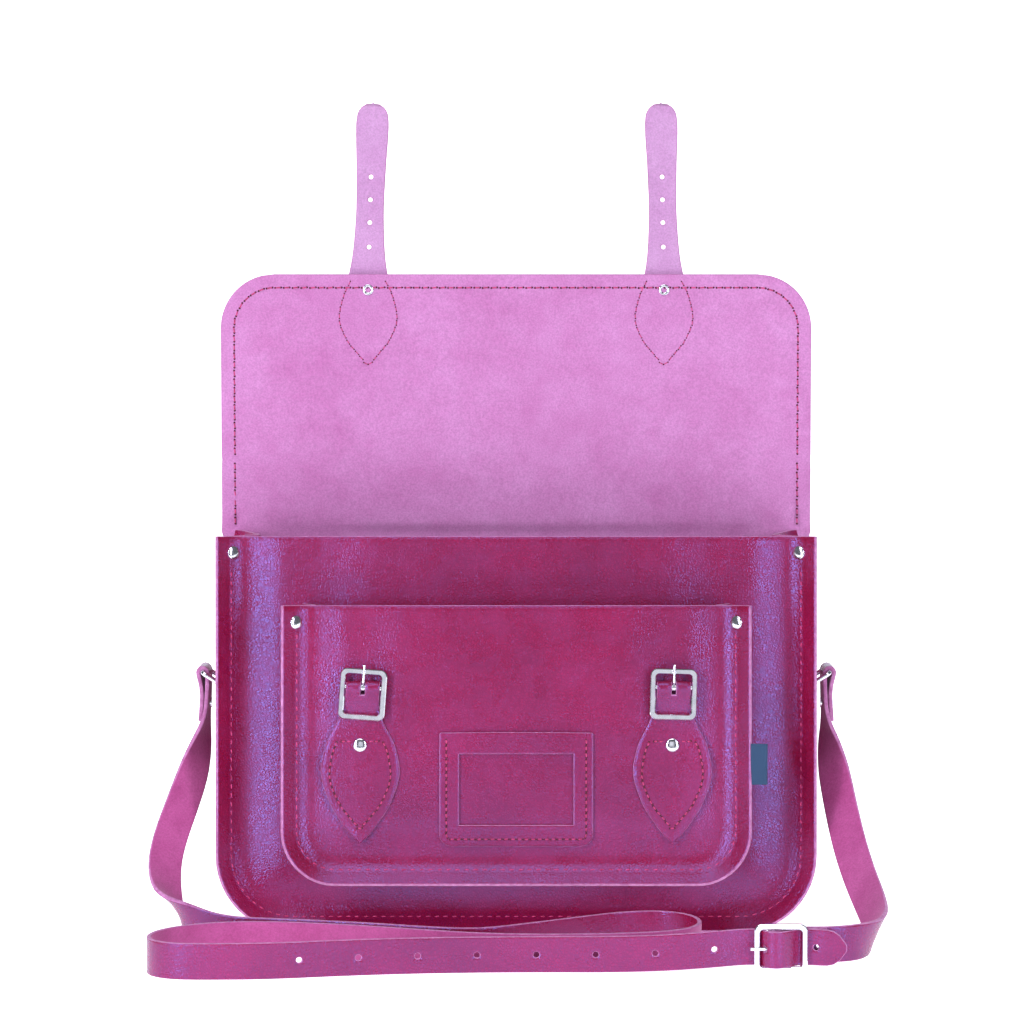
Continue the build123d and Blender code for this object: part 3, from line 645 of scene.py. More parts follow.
def rim_seam(matrix, width, top, corner, start):
    """Points and normals of the seam along a panel's rim, from below the corner rivets."""
    line, _ = u_line(width, top, corner)
    out = rim_reach - stitch_inset
    up = out * tan(slope) - 0.0002
    seam = []
    for u, v, nu, nv in line:
        if v < top - start:
            normal = Vector((-nu * sin(slope), -nv * sin(slope), cos(slope)))
            seam.append((Vector((u + nu * out, v + nv * out, up)), normal))
    return moved(seam, matrix)


# ---------------------------------------------------------------------------------------------------- straps
def rounded_line(corners, radius, steps=6, spacing=0.003):
    """A line through corners, each rounded off, with points along its straight runs."""
    corners = [Vector(c) for c in corners]
    line = [corners[0]]
    for before, at, after in zip(corners, corners[1:], corners[2:]):
        cut = min(radius, 0.45 * (before - at).length, 0.45 * (after - at).length)
        start = at + (before - at).normalized() * cut
        end = at + (after - at).normalized() * cut
        straight_to(line, start, spacing)
        for step in range(1, steps + 1):
            t = step / steps
            line.append(start * (1 - t) ** 2 + at * 2 * t * (1 - t) + end * t * t)
    straight_to(line, corners[-1], spacing)
    return line


def straight_to(line, end, spacing):
    """Adds evenly spaced points up to an end point."""
    start = line[-1]
    steps = max(1, ceil((end - start).length / spacing))
    line += [start.lerp(end, i / steps) for i in range(1, steps + 1)]


def lengths_of(line):
    """The distance along a line to each of its points."""
    points = np.array([tuple(p) for p in line])
    return np.concatenate([[0], np.cumsum(np.linalg.norm(np.diff(points, axis=0), axis=1))])


def along(line, wide):
    """A function that gives the point, width direction and normal at a distance along a line."""
    at = lengths_of(line)
    points = np.array([tuple(p) for p in line])
    widths = np.array([tuple(w) for w in wide])
    slopes = np.gradient(points, at, axis=0)

    def place(distance):
        tables = (points, widths, slopes)
        spot, across, forward = (Vector([np.interp(distance, at, t[:, k]) for k in range(3)]) for t in tables)
        forward.normalize()
        across = (across - forward * across.dot(forward)).normalized()
        return spot, across, across.cross(forward)

    return place, at[-1]


def curve_through(stops):
    """A smooth function through pairs of a distance and a value."""
    xs, ys = (np.array(values, float) for values in zip(*stops))
    steps = np.diff(ys) / np.diff(xs)
    before, after = steps[:-1], steps[1:]
    middle = np.where(before * after > 0, 2 * before * after / (before + after + 1e-12), 0)
    tangents = np.concatenate([[steps[0]], middle, [steps[-1]]])

    def value(x):
        k = int(np.clip(np.searchsorted(xs, x) - 1, 0, len(xs) - 2))
        span = xs[k + 1] - xs[k]
        t = min(1.0, max(0.0, (x - xs[k]) / span))
        a, b = ys[k], ys[k + 1]
        bend = tangents[k] * span, tangents[k + 1] * span
        return (
            a * (1 + 2 * t) * (1 - t) ** 2 + bend[0] * t * (1 - t) ** 2
            + b * t * t * (3 - 2 * t) + bend[1] * t * t * (t - 1)
        )

    return value


def strap_pattern(length, half_width, holes=(), hole=0.0, slot=None, spacing=0.003):
    """The flat pattern of a strap: points as a distance along and a distance across, and faces."""
    gap = 0.75 * hole if hole else slot_half
    fixed = {0.0, length, 0.0006, length - 0.0006}
    solid_rows = set()
    for at in holes:
        fixed |= {at - gap, at + gap}
        solid_rows.add(round(at - gap, 7))
    if slot:
        fixed |= set(slot)
    rows = []
    fixed = sorted(fixed)
    for start, end in zip(fixed, fixed[1:]):
        steps = 1 if round(start, 7) in solid_rows else max(1, ceil((end - start) / spacing))
        rows += [start + (end - start) * i / steps for i in range(steps)]
    rows.append(length)
    shares = (0.0, 0.3, 0.62, 0.88, 1.0)
    points, faces = [], []
    for at in rows:
        half = max(0.0004, half_width(at))
        inner = min(gap, 0.4 * half)
        outer = [inner + (half - inner) * share for share in shares]
        points += [(at, x) for x in [-x for x in reversed(outer)] + outer]
    columns = 2 * len(shares)
    middle = len(shares) - 1
    for r, start in enumerate(rows[:-1]):
        for c in range(columns - 1):
            a = r * columns + c
            cell = (a, a + 1, a + columns + 1, a + columns)
            if c == middle and round(start, 7) in solid_rows:
                punch(points, faces, cell, start + gap, hole / 2)
            elif not (c == middle and slot and slot[0] - 1e-7 <= start < slot[1] - 1e-7):
                faces.append(cell)
    return points, faces


def punch(points, faces, cell, centre, radius):
    """A square cell with a round hole in it, in place of a plain face."""
    first = len(points)
    ring = 16
    for k in range(ring):
        angle = 2 * pi * k / ring + pi * 1.25
        points.append((centre + radius * sin(angle), radius * cos(angle)))
    quarter = ring // 4
    for side in range(4):
        rim = [first + (side * quarter + k) % ring for k in range(quarter, -1, -1)]
        faces.append((cell[side], cell[(side + 1) % 4], *rim))


def strap_piece(name, line, wide, half_width, thickness, looks, seam=None, crown=0.0, lift=0.0, **cuts):
    """A strap of leather whose outer face follows a line. wide is its width direction, one or one a point."""
    wide = [wide] * len(line) if isinstance(wide, tuple) else wide
    place, length = along(line, wide)
    pattern, faces = strap_pattern(length, half_width, **cuts)
    points = []
    for at, x in pattern:
        spot, across, normal = place(at)
        half = max(0.0004, half_width(at))
        points.append(spot + across * x + normal * (lift + crown * (1 - (x / half) ** 2)))
    return shell(name, points, faces, thickness, looks, seam)


def spline_samples(name, control, divisions=12):
    """Points along the smooth curve of a route's control points."""
    curve = bpy.data.curves.new(name, "CURVE")
    curve.dimensions = "3D"
    curve.resolution_u = divisions
    spline = curve.splines.new("NURBS")
    spline.points.add(len(control) - 1)
    for point, place in zip(spline.points, control):
        point.co = (*place, 1)
    spline.order_u = 3
    spline.use_endpoint_u = True
    holder = bpy.data.objects.new(name, curve)
    mesh = bpy.data.meshes.new_from_object(holder)
    samples = [vertex.co.copy() for vertex in mesh.vertices]
    bpy.data.objects.remove(holder)
    return samples


# -------------------------------------------------------------------------------------------------- stitches
def stitches(name, seam, body, slot="bag_leather", pitch=stitch_pitch, radius=thread_radius, seed=1):
    """Sunk stitches along a seam of points and normals, each with its two holes, as one piece on a body."""
    line = [p for p, _ in seam]
    place, length = along(line, [n for _, n in seam])
    count = max(1, round(length / pitch))
    step = length / count
    reach = step * stitch_share / 2
    draw = Random(seed)
    points, faces, marks = [], [], []
    for k in range(count):
        centre = step * (k + 0.5 + draw.uniform(-0.03, 0.03))
        spot, normal, side = place(centre)
        side = -side
        forward = side.cross(normal)
        turn = stitch_lean + draw.uniform(-0.05, 0.05)
        forward, side = forward * cos(turn) + side * sin(turn), side * cos(turn) - forward * sin(turn)
        add_stitch(points, faces, marks, spot, forward, side, normal, reach, radius)
        for end in (-1, 1):
            mouth = spot + forward * reach * end * 0.98
            add_hole(points, faces, marks, mouth, forward, side, normal, radius * 1.6)
    finish_piece(new_object(name, points, faces, [thread, stitch_hole_shade], marks), body, slot)


def add_stitch(points, faces, marks, spot, forward, side, normal, reach, radius):
    """A bent grain of thread whose ends dive into the leather."""
    first = len(points)
    rings, around = 7, 8
    for i in range(rings):
        t = 2 * i / (rings - 1) - 1
        thick = radius * (1 - 0.42 * t * t)
        rise = radius * (0.62 - 1.25 * t * t)
        for k in range(around):
            angle = 2 * pi * k / around
            up = rise + thick * sin(angle)
            points.append(spot + forward * reach * t + side * thick * cos(angle) + normal * up)
    faces += grid_faces(rings, around, first, closed=True, flip=True)
    faces.append(tuple(first + k for k in range(around)))
    faces.append(tuple(first + (rings - 1) * around + k for k in reversed(range(around))))
    marks += [0] * ((rings - 1) * around + 2)


def add_hole(points, faces, marks, spot, forward, side, normal, radius):
    """A small dimple where the thread goes in, coloured dark as painted shade."""
    first = len(points)
    around = 8
    for height, size in ((-0.0003, 1.0), (0.00005, 1.0), (0.00008, 0.6)):
        for k in range(around):
            angle = 2 * pi * k / around
            out = forward * cos(angle) * 1.1 + side * sin(angle)
            points.append(spot + out * radius * size + normal * height)
    faces += grid_faces(3, around, first, closed=True)
    faces.append(tuple(first + 2 * around + k for k in range(around)))
    faces.append(tuple(first + k for k in reversed(range(around))))
    marks += [1] * (2 * around + 2)


def moved(seam, matrix):
    """A seam in the row frame, from a panel's own frame."""
    turn = matrix.to_3x3()
    return [(matrix @ p, turn @ n) for p, n in seam]


def above_floor(points):
    """Points raised to the floor where they would be under it."""
    return [Vector((p.x, p.y, max(p.z, floor_gap))) for p in points]


# --------------------------------------------------------------------------------------------------- the bag
def front():
    """The front panel and its seam."""
    points, faces, _ = dished_panel(body_width, body_height, body_corner, body_swell)
    points = above_floor([front_plane @ Vector(p) for p in points])
    panel = shell("front_leather", points, faces, panel_leather, [grain, flesh, edge])
    finish_piece(panel, "front", "bag_leather", "front_panel")
    seam = rim_seam(front_plane, body_width, body_height, body_corner, body_seam_start)
    stitches("front_seam", seam, "front")


def finish_piece(piece, body, slot, *nodes):
    """Parents a piece to its body's empty and hides the CAD parts it stands for. body is a name, or (first,
    second, start, end) for a piece that spans two bodies, which then only has its transform baked. slot is
    not used."""
    if isinstance(body, str):
        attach(piece, body)
    else:
        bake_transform(piece)
    if nodes:
        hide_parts(*nodes)


def back_and_flap():
    """The back panel, which goes on over two creases as the flap. Two pieces meet halfway up its middle."""
    fade = lambda v: 1 - smooth((v - body_height + 0.012) / 0.014)
    points, faces, row = dished_panel(body_width, body_height, body_corner, back_swell, fade)
    spots = above_floor([back_plane @ Vector(p) for p in points])
    stretch = flap_half / max(abs(spots[i].x) for i in row)
    heights = [0.003, 0.006, 0.009, 0.012, 0.016, 0.020, 0.026, 0.032, 0.038, split_z - spots[row[0]].z]
    base = spots[row[0]].z
    rows = [row]
    for height in heights:
        rows.append([])
        for i in row:
            x = spots[i].x * (1 + (stretch - 1) * smooth(height / 0.012))
            lean = 0.0016 * smooth(height / 0.02)
            swell_y = flap_wave(x, base + height)
            rows[-1].append(len(spots))
            y = flap_back_y + 0.0016 - lean + swell_y * smooth(height / 0.03)
            spots.append(Vector((x, y, base + height)))
    for i in row:
        spots[i].y += 0.0008
    for low, high in zip(rows, rows[1:]):
        for k in range(len(row) - 1):
            faces.append((low[k], low[k + 1], high[k + 1], high[k]))
    seam = lambda p: abs(p.z - split_z) < 1e-5
    lower = shell("back_leather", spots, faces, panel_leather, [grain, flap_flesh, edge], seam)
    finish_piece(lower, low_crease, "bag_leather", "back_panel", "flap_top")
    line = rim_seam(back_plane, body_width, body_height, body_corner, body_seam_start)
    stitches("back_seam", line, "root", seed=2)
    flap([Vector(spots[i]) for i in rows[-1]])
    flap_seams()


def flap_wave(x, z):
    """How far the raised flap's face stands off its plane: slack leather, straighter near its edges."""
    broad = noise.noise(Vector((x / 0.11, z / 0.09, 0.8)))
    return 0.0009 * broad + 0.0007 * noise.noise(Vector((x / 0.05, z / 0.3, 2.1)))


def flap(first_row):
    """The flap from its middle to its rounded front edge."""
    xs = [p.x for p in first_row]
    inset_steps = 46
    rows = []
    for step in range(inset_steps + 1):
        share = step / inset_steps
        z = split_z + (flap_edge_z - split_z) * (1 - (1 - share) ** 1.25)
        drop = max(0.0, z - (flap_edge_z - flap_corner)) / flap_corner
        rows.append((z, drop))
    spots = []
    for z, drop in rows:
        half = flap_half - flap_corner * (1 - max(0.0, 1 - drop**2) ** 0.5)
        for x in xs:
            at = x * half / flap_half
            spots.append(Vector((at, flap_back_y + flap_wave(at, z), z)))
    faces = grid_faces(len(rows), len(xs))
    seam = lambda p: abs(p.z - split_z) < 1e-5
    upper = shell("flap_leather", spots, faces, panel_leather, [grain, flap_flesh, edge], seam)
    finish_piece(upper, high_crease, "flap_leather", "flap_front")


def flap_outline(inset):
    """Points along the flap's sides and rounded front edge, from the back crease up the left and down the
    right."""
    half, radius, low = flap_half - inset, flap_corner - inset, crease_back_z + 0.001
    high = flap_edge_z - flap_corner
    line = []
    steps = ceil((high - low) / 0.004)
    line += [(-half, low + (high - low) * i / steps) for i in range(steps)]
    for step in range(17):
        angle = pi / 2 * step / 16
        line.append((-half + radius - radius * cos(angle), high + radius * sin(angle)))
    steps = ceil((half - radius) / 0.004)
    line += [(-(half - radius) * (1 - i / steps), high + radius) for i in range(1, steps + 1)]
    return line + [(-x, z) for x, z in reversed(line[:-1])]


def flap_seams():
    """The flap's stitches along its sides and rounded front edge, on both faces."""
    line = flap_outline(0.008)
    for name, face, out in (("inner", -panel_leather, -1), ("outer", 0.0, 1)):
        seam = []
        for x, z in line:
            seam.append((Vector((x, flap_back_y + face + flap_wave(x, z), z)), Vector((0, out, 0))))
        upper = [s for s in seam if s[0].z >= split_z]
        left = [s for s in seam if s[0].z < split_z and s[0].x < 0]
        right = [s for s in seam if s[0].z < split_z and s[0].x > 0]
        stitches(f"flap_{name}_seam", upper, high_crease, "flap_leather", seed=3)
        stitches(f"flap_{name}_seam_left", left, low_crease, "flap_leather", seed=4)
        stitches(f"flap_{name}_seam_right", right, low_crease, "flap_leather", seed=5)


leaf_half = curve_through([
    (0, 0.0004), (0.004, 0.0042), (0.012, 0.0105), (0.024, 0.0175), (0.041, 0.0213), (0.055, 0.0190),
    (0.068, 0.01175), (0.088, 0.0091), (0.110, 0.00825), (0.134, 0.0088), (0.159, 0.0098), (0.166, 0.0092),
    (0.1705, 0.0068), (0.1725, 0.0040), (0.173, 0.0010),
])
leaf_stitch_half = curve_through([
    (0.012, 0.0003), (0.018, 0.0052), (0.028, 0.0132), (0.041, 0.0178), (0.055, 0.0150), (0.067, 0.0090),
])


def flap_straps():
    """The flap's two straps: a leaf-shaped root sewn on the outside, and a tongue that stands past the
    edge."""
    for side, x in (("left", -strap_x), ("right", strap_x)):
        foot = flap_edge_z - leaf_length
        y = flap_back_y + panel_leather
        tall = strap_tip_z - foot
        lean = 0.0030 if side == "left" else -0.0020
        line = []
        for i in range(61):
            rise = tall * i / 60
            past = max(0.0, rise - leaf_length)
            line.append(Vector((x + lean * past / 0.1, y + 0.0003 + 6 * past * past * 0.03, foot + rise)))
        holes = [leaf_length + h for h in strap_holes]
        piece = strap_piece(
            f"strap_leather_{side}", line, (-1, 0, 0), leaf_half, panel_leather, [grain, tip_flesh, edge],
            holes=holes, hole=0.0035, spacing=0.002, crown=0.0003,
        )
        hinge = flap_edge_z + hinge_gap
        bend = ("flap_front", f"strap_{side}", (0, 0, hinge - 0.006), (0, 0, hinge + 0.006))
        finish_piece(piece, bend, "flap_leather", f"strap_leaf_{side}", f"flap_strap_{side}")
        leaf_seams(side, x, foot)
        tube_rivet(side, x)


def leaf_loop(half, heights):
    """A line down the left side of a leaf and up its right side."""
    return [(-half(h), h) for h in reversed(heights)] + [(half(h), h) for h in heights[1:]]


def leaf_seams(side, x, foot):
    """The stitches round a strap's root, on the root and on the flap's inner face."""
    heights = [0.012 + 0.0035 * i for i in range(16)]
    loop = leaf_loop(leaf_stitch_half, heights)
    faces = (
        ("outer", flap_back_y + panel_leather + 0.0004, 1, thread_radius),
        ("inner", flap_back_y - panel_leather, -1, 0.0003),
    )
    for name, y, out, radius in faces:
        seam = []
        for across, h in loop:
            swell_y = flap_wave(x + across, foot + h) if name == "inner" else 0
            seam.append((Vector((x + across, y + swell_y, foot + h)), Vector((0, out, 0))))
        made = f"leaf_{name}_seam_{side}"
        stitches(made, seam, "flap_front", "flap_leather", pitch=0.0042, radius=radius, seed=6)


def lathe(name, profile, matrix, material, body, slot, *nodes):
    """A turned piece: profile pairs of radius and height round the matrix's own Z."""
    around = 32
    points = []
    for radius, height in profile:
        for k in range(around):
            angle = 2 * pi * k / around
            points.append(matrix @ Vector((radius * cos(angle), radius * sin(angle), height)))
    faces = grid_faces(len(profile), around, closed=True)
    faces.append(tuple(reversed(range(around))))
    faces.append(tuple(len(points) - around + k for k in range(around)))
    finish_piece(new_object(name, points, faces, [material]), body, slot, *nodes)


def tube_rivet(side, x):
    """The strap's tubular rivet: a rolled ring on the flap's inner face and a domed cap outside."""
    z = flap_edge_z - strap_rivet_drop
    y = flap_back_y - panel_leather + flap_wave(x, z)
    inward = Matrix.Translation((x, y, z)) @ Matrix.Rotation(pi / 2, 4, "X")
    ring = [
        (0.0034, -0.001), (0.0035, 0.0002), (0.0033, 0.0007), (0.0028, 0.00095), (0.0022, 0.0008),
        (0.0016, 0.0004), (0.0014, -0.0004), (0.0010, -0.0009),
    ]
    node = f"flap_strap_rivet_{side}"
    lathe(f"strap_rivet_ring_{side}", ring, inward, nickel, "flap_front", "nickel", node)
    outward = Matrix.Translation((x, flap_back_y + panel_leather, z)) @ Matrix.Rotation(-pi / 2, 4, "X")
    dome = [
        (0.0034, -0.0004), (0.0036, 0.0004), (0.0035, 0.0009), (0.0028, 0.0015), (0.0018, 0.0019),
        (0.0009, 0.0021), (0.0002, 0.00215),
    ]
    lathe(f"strap_rivet_cap_{side}", dome, outward, nickel, "flap_front", "nickel")


def gusset(name, width, foot, top, corner, depth_at, front_at, fold, back_flange, matrix, looks):
    """The strip down the left side, round the bottom and up the right, folded inwards where it is high up."""
    centre_x, centre_z = width / 2 - corner, foot + corner
    half = width / 2 - rim_reach + 0.0011 - centre_x
    side_steps, turn_steps, foot_steps = 28, 12, 18
    fold_start = 0.008
    stations = []
    for i in range(side_steps + 1):
        z = top - (top - centre_z) * i / side_steps
        stations.append((z, 0.0, max(0.0, (z - centre_z - fold_start) / (top - centre_z - fold_start))))
    stations += [(centre_z, pi / 2 * i / turn_steps, 0.0) for i in range(1, turn_steps + 1)]
    sections = [(-1, centre_x, *s) for s in stations]
    for i in range(1, foot_steps):
        sections.append((1, -centre_x + 2 * centre_x * i / foot_steps, centre_z, pi / 2, 0.0))
    sections += [(1, centre_x, *s) for s in reversed(stations)]
    points = []
    for side, x0, z0, angle, share in sections:
        height = z0 - (half * sin(angle) if angle else 0)
        front_y, depth = front_at(height), depth_at(height)
        for out, y in gusset_line(half, front_y, depth, fold * share**1.3, back_flange):
            if angle == 0:
                points.append(Vector((side * (x0 + out), y, z0)))
            else:
                points.append(Vector((side * x0 + side * out * cos(angle), y, z0 - out * sin(angle))))
    faces = grid_faces(len(sections), len(points) // len(sections))
    return shell(name, [matrix @ p for p in points], faces, gusset_leather, looks)


def gusset_line(half, front_y, depth, fold, back_flange):
    """The outer face across a gusset, from the front flange over the folded wall to the back flange."""
    wall = half + gusset_leather
    rim = rim_length - 0.0022
    near = front_y + panel_leather + gusset_leather + 0.0002
    back_y = front_y + depth
    out = wall + rim * cos(slope)
    lip = rim * sin(slope)
    corners = [(out, near - lip, 0), (wall, near, 0), (wall - fold, front_y + fold_from_front * depth, 0)]
    if back_flange:
        far = back_y - gusset_leather - 0.0003
        corners += [(wall, far, 0), (wall + pocket_flange, far, 0)]
    else:
        far = back_y - panel_leather - gusset_leather - 0.0002
        corners += [(wall, far, 0), (out, far + lip, 0)]
    line = [Vector(corners[0])]
    for before, at, after in zip(corners, corners[1:], corners[2:]):
        before, at, after = Vector(before), Vector(at), Vector(after)
        start = at + (before - at).normalized() * min(0.004, 0.4 * (before - at).length)
        end = at + (after - at).normalized() * min(0.004, 0.4 * (after - at).length)
        line += [line[-1].lerp(start, t) for t in (0.33, 0.66, 1.0)]
        line += [start * (1 - t) ** 2 + at * 2 * t * (1 - t) + end * t * t for t in (0.25, 0.5, 0.75, 1.0)]
    line += [line[-1].lerp(Vector(corners[-1]), t) for t in (0.33, 0.66, 1.0)]
    return [(p.x, p.y) for p in line]


def gussets():
    """The body's gusset and the pocket's."""
    top = body_height * cos(tilt)
    body_depth = lambda z: depth_bottom - 0.028 * z / top
    body_front = lambda z: bag_y - body_depth(z) / 2
    piece = gusset(
        "gusset_leather", body_width, 0.0, top, body_corner, body_depth, body_front, body_fold, False,
        Matrix.Identity(4), [grain, flesh, edge],
    )
    for vertex in piece.data.vertices:
        vertex.co.z = max(vertex.co.z, floor_gap)
    mouth = ("root", "front", (0, bag_y + 0.010, 0), (0, bag_y - depth_bottom / 2 + 0.012, 0))
    finish_piece(piece, mouth, "bag_leather", "gusset")
    narrowing = (pocket_depth - pocket_depth_top) / pocket_height
    depth = lambda v: pocket_depth - pocket_drop - narrowing * (v - pocket_foot)
    upright = front_plane @ Matrix.Rotation(-pi / 2, 4, "X")
    piece = gusset(
        "pocket_gusset_leather", pocket_width, pocket_foot, pocket_foot + pocket_height, pocket_corner,
        depth, lambda v: -depth(v), pocket_fold, True, upright, [grain, flesh, edge],
    )
    lowest = bag_y - depth_bottom / 2
    mouth = ("front", "pocket", (0, lowest - 0.004, 0), (0, lowest - pocket_depth + 0.010, 0))
    finish_piece(piece, mouth, "bag_leather", "pocket_gusset")


def pocket():
    """The pocket's panel and seam."""
    points, faces, _ = dished_panel(pocket_width, pocket_height, pocket_corner, pocket_bulge)
    points = [pocket_plane @ Vector(p) for p in points]
    panel = shell("pocket_leather", points, faces, panel_leather, [grain, flesh, edge])
    finish_piece(panel, "pocket", "bag_leather", "pocket_panel")
    seam = rim_seam(pocket_plane, pocket_width, pocket_height, pocket_corner, pocket_seam_start)
    stitches("pocket_seam", seam, "pocket", seed=7)


tab_half = curve_through([
    (0, 0.0004), (0.004, 0.0046), (0.012, 0.0108), (0.024, 0.0180), (0.042, 0.0230), (0.056, 0.0205),
    (0.070, 0.0138), (0.078, 0.0108), (0.084, 0.0097), (0.150, 0.0097),
])
tab_stitch_half = curve_through([
    (0.0085, 0.0003), (0.014, 0.0052), (0.024, 0.0128), (0.040, 0.0180), (0.053, 0.0162), (0.0605, 0.0130),
])


def pocket_swell(u, v):
    """How far the pocket panel's face stands out at a place."""
    return swell(u, v, pocket_width, pocket_height, pocket_bulge)


def buckle_tabs():
    """The leaf-shaped tabs, each with a tongue that folds round its buckle's centre bar."""
    for side, x in (("left", -tab_x), ("right", tab_x)):
        turn = sin(tab_turns[side])
        lift = pocket_swell(x, tab_pivot - 0.02)
        face = tab_leather + lift
        outer = [(tab_tip, face), (0.092, face), (0.101, 0.0054), (0.108, 0.0072)]
        for step in range(9):
            angle = radians(-12 + 24 * step)
            outer.append((buckle_v + fold_radius * sin(angle), buckle_w + fold_radius * cos(angle)))
        outer += [(0.106, 0.0022), (0.099, 0.0021)]
        line = rounded_line([(x + turn * max(0.0, v - tab_pivot), v, w) for v, w in outer], 0.004, 4, 0.0022)
        line = [pocket_plane @ p for p in line]
        slot_start = lengths_of([(v, w, 0) for v, w in outer])[4] - 0.0042
        piece = strap_piece(
            f"tab_leather_{side}", line, (1, 0, 0), tab_half, tongue_leather, [grain, flesh, edge],
            slot=(slot_start, slot_start + slot_length), spacing=0.0018, crown=0.0006,
        )
        finish_piece(piece, "pocket", "bag_leather", f"buckle_tab_{side}")
        heights = [0.0085 + 0.0032 * i for i in range(17)]
        seam = []
        for across, h in leaf_loop(tab_stitch_half, heights):
            crown = 0.0006 * (1 - (across / tab_half(h)) ** 2)
            seam.append((Vector((x + across, tab_tip + h, face + crown)), Vector((0, 0, 1))))
        stitches(f"tab_seam_{side}", moved(seam, pocket_plane), "pocket", pitch=0.004, seed=8)
        top = tab_tip + heights[-1]
        for part, start, end in (("a", -0.0115, -0.0048), ("b", 0.0048, 0.0115)):
            row = []
            for i in range(7):
                at = x + start + (end - start) * i / 6
                row.append((Vector((at, top, face + 0.0004)), Vector((0, 0, 1))))
            stitches(f"tab_row_{side}_{part}", moved(row, pocket_plane), "pocket", pitch=0.0034, seed=9)


def rounded_box(width, low, high, radii, steps):
    """Points round a rectangle, anticlockwise from its top left corner. radii are the corners' at the top
    and at the bottom."""
    half = width / 2
    corners = [(-half, high, radii[0], 90), (-half, low, radii[1], 180)]
    corners += [(half, low, radii[1], 270), (half, high, radii[0], 0)]
    line = []
    for x, y, radius, start in corners:
        cx = x + radius * (1 if x < 0 else -1)
        cy = y + radius * (1 if y == low else -1)
        for step in range(steps + 1):
            angle = radians(start + 90 * step / steps)
            line.append((cx + radius * cos(angle), cy + radius * sin(angle)))
    closed = []
    for (ax, ay), (bx, by) in zip(line, line[1:] + line[:1]):
        closed.append((ax, ay))
        if abs(bx - ax) + abs(by - ay) > 0.02:
            closed += [(ax + (bx - ax) * i / 12, ay + (by - ay) * i / 12) for i in range(1, 12)]
    return closed


def label_holder():
    """The label holder: a leather frame sewn down on three sides and open at its top."""
    outer = rounded_box(holder_width, holder_foot, holder_foot + holder_height, (0.0008, 0.0068), 6)
    inner = rounded_box(window_width, window_foot, window_foot + window_height, (0.0006, 0.0006), 6)
    shares = (0.0, 0.08, 0.3, 0.6, 0.92, 1.0)
    points = []
    for share in shares:
        for (ax, ay), (bx, by) in zip(outer, inner):
            u, v = ax + (bx - ax) * share, ay + (by - ay) * share
            bow = 0.0005 * smooth((v - 0.078) / 0.012) * (1 - (2 * u / holder_width) ** 2)
            up = holder_leather + pocket_swell(u, v) + 0.0002 + bow
            points.append(pocket_plane @ Vector((u, v + bow * 0.6, up)))
    faces = grid_faces(len(shares), len(outer), closed=True)
    piece = shell("holder_leather", points, faces, holder_leather, [grain, flesh, edge])
    finish_piece(piece, "pocket", "bag_leather", "label_holder")
    half, low, high = holder_width / 2 - 0.0038, holder_foot + 0.0040, holder_foot + holder_height - 0.003
    corners = [(-half, high, 0), (-half, low, 0), (half, low, 0), (half, high, 0)]
    seam = []
    for p in rounded_line(corners, 0.0035, 6, 0.004):
        seam.append((Vector((p.x, p.y, holder_leather + pocket_swell(p.x, p.y) + 0.0002)), Vector((0, 0, 1))))
    stitches("holder_seam", moved(seam, pocket_plane), "pocket", pitch=0.0040, seed=10)


def side_tag():
    """The plain woven tag folded into the pocket's right seam."""
    low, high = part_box("side_tag")
    y = (low.y + high.y) / 2
    root, bend, thick = low.x + 0.001, high.x - 0.0005, 0.0004
    ends = [(root, -thick), (bend, -thick), (high.x, 0), (bend, thick), (root, thick)]
    line = [Vector((x, y + out, (low.z + high.z) / 2)) for x, out in ends]
    half = (high.z - low.z) / 2
    piece = strap_piece("tag_fabric", line, (0, 0, 1), lambda s: half, 0.00045, [tag] * 3, spacing=0.001)
    finish_piece(piece, "pocket", "tag_fabric", "side_tag")


def side_chapes():
    """The short straps folded round the side rings' inner bars."""
    for side, name in ((-1, "left"), (1, "right")):
        foot = 0.1698
        bar_x, bar_z = ring_inner.x, ring_inner.z
        corners = [(foot, 0.1125), (foot, 0.124), (bar_x - chape_radius, bar_z - 0.002)]
        for step in range(5):
            angle = radians(180 - 45 * step)
            corners.append((bar_x + chape_radius * cos(angle), bar_z + chape_radius * sin(angle)))
        corners += [(bar_x + 0.0030, bar_z - 0.004), (foot + 0.0040, 0.125), (foot + 0.0040, 0.1125)]
        line = rounded_line([(side * x, ring_inner.y, z) for x, z in corners], 0.004, 4, 0.002)
        looks = [grain, flesh, edge]
        piece = strap_piece(
            f"chape_leather_{name}", line, (0, -side, 0), lambda s: chape_half, tongue_leather, looks,
            spacing=0.002,
        )
        finish_piece(piece, "root", "bag_leather", f"ring_chape_{name}")


def shoulder_straps():
    """The two shoulder straps along their routes, with their laps round the rings."""
    looks = [grain, strap_flesh, edge]
    for name, route, side in (("long", long_route, -1), ("short", short_route, 1)):
        samples = spline_samples(f"{name}_line", [row[:3] for row in route])
        wide = spline_samples(f"{name}_width", [row[3] for row in route])
        length = lengths_of(samples)[-1]
        tip = curve_through([
            (0, 0.0012), (0.0015, 0.0040), (0.004, 0.0070), (0.008, 0.0094),
            (0.012, strap_half), (2.0, strap_half),
        ])
        if name == "long":
            half = lambda s, whole=length: tip(whole - s)
            holes = [length - hole_first - hole_pitch * k for k in reversed(range(hole_count))]
            cuts = {"holes": holes, "hole": strap_hole}
        else:
            half = lambda s: strap_half
            cuts = {}
        wide = [-Vector(w) for w in wide]
        piece = strap_piece(
            f"shoulder_{name}", samples, wide, half, strap_leather, looks,
            lift=strap_leather / 2, spacing=0.004, **cuts,
        )
        swing = ("root", f"ring_{'left' if side < 0 else 'right'}", (0, 0, 0.100), (0, 0, 0.146))
        finish_piece(piece, swing, "strap_leather", f"shoulder_strap_{name}")
        ring_lap(side, swing, looks)


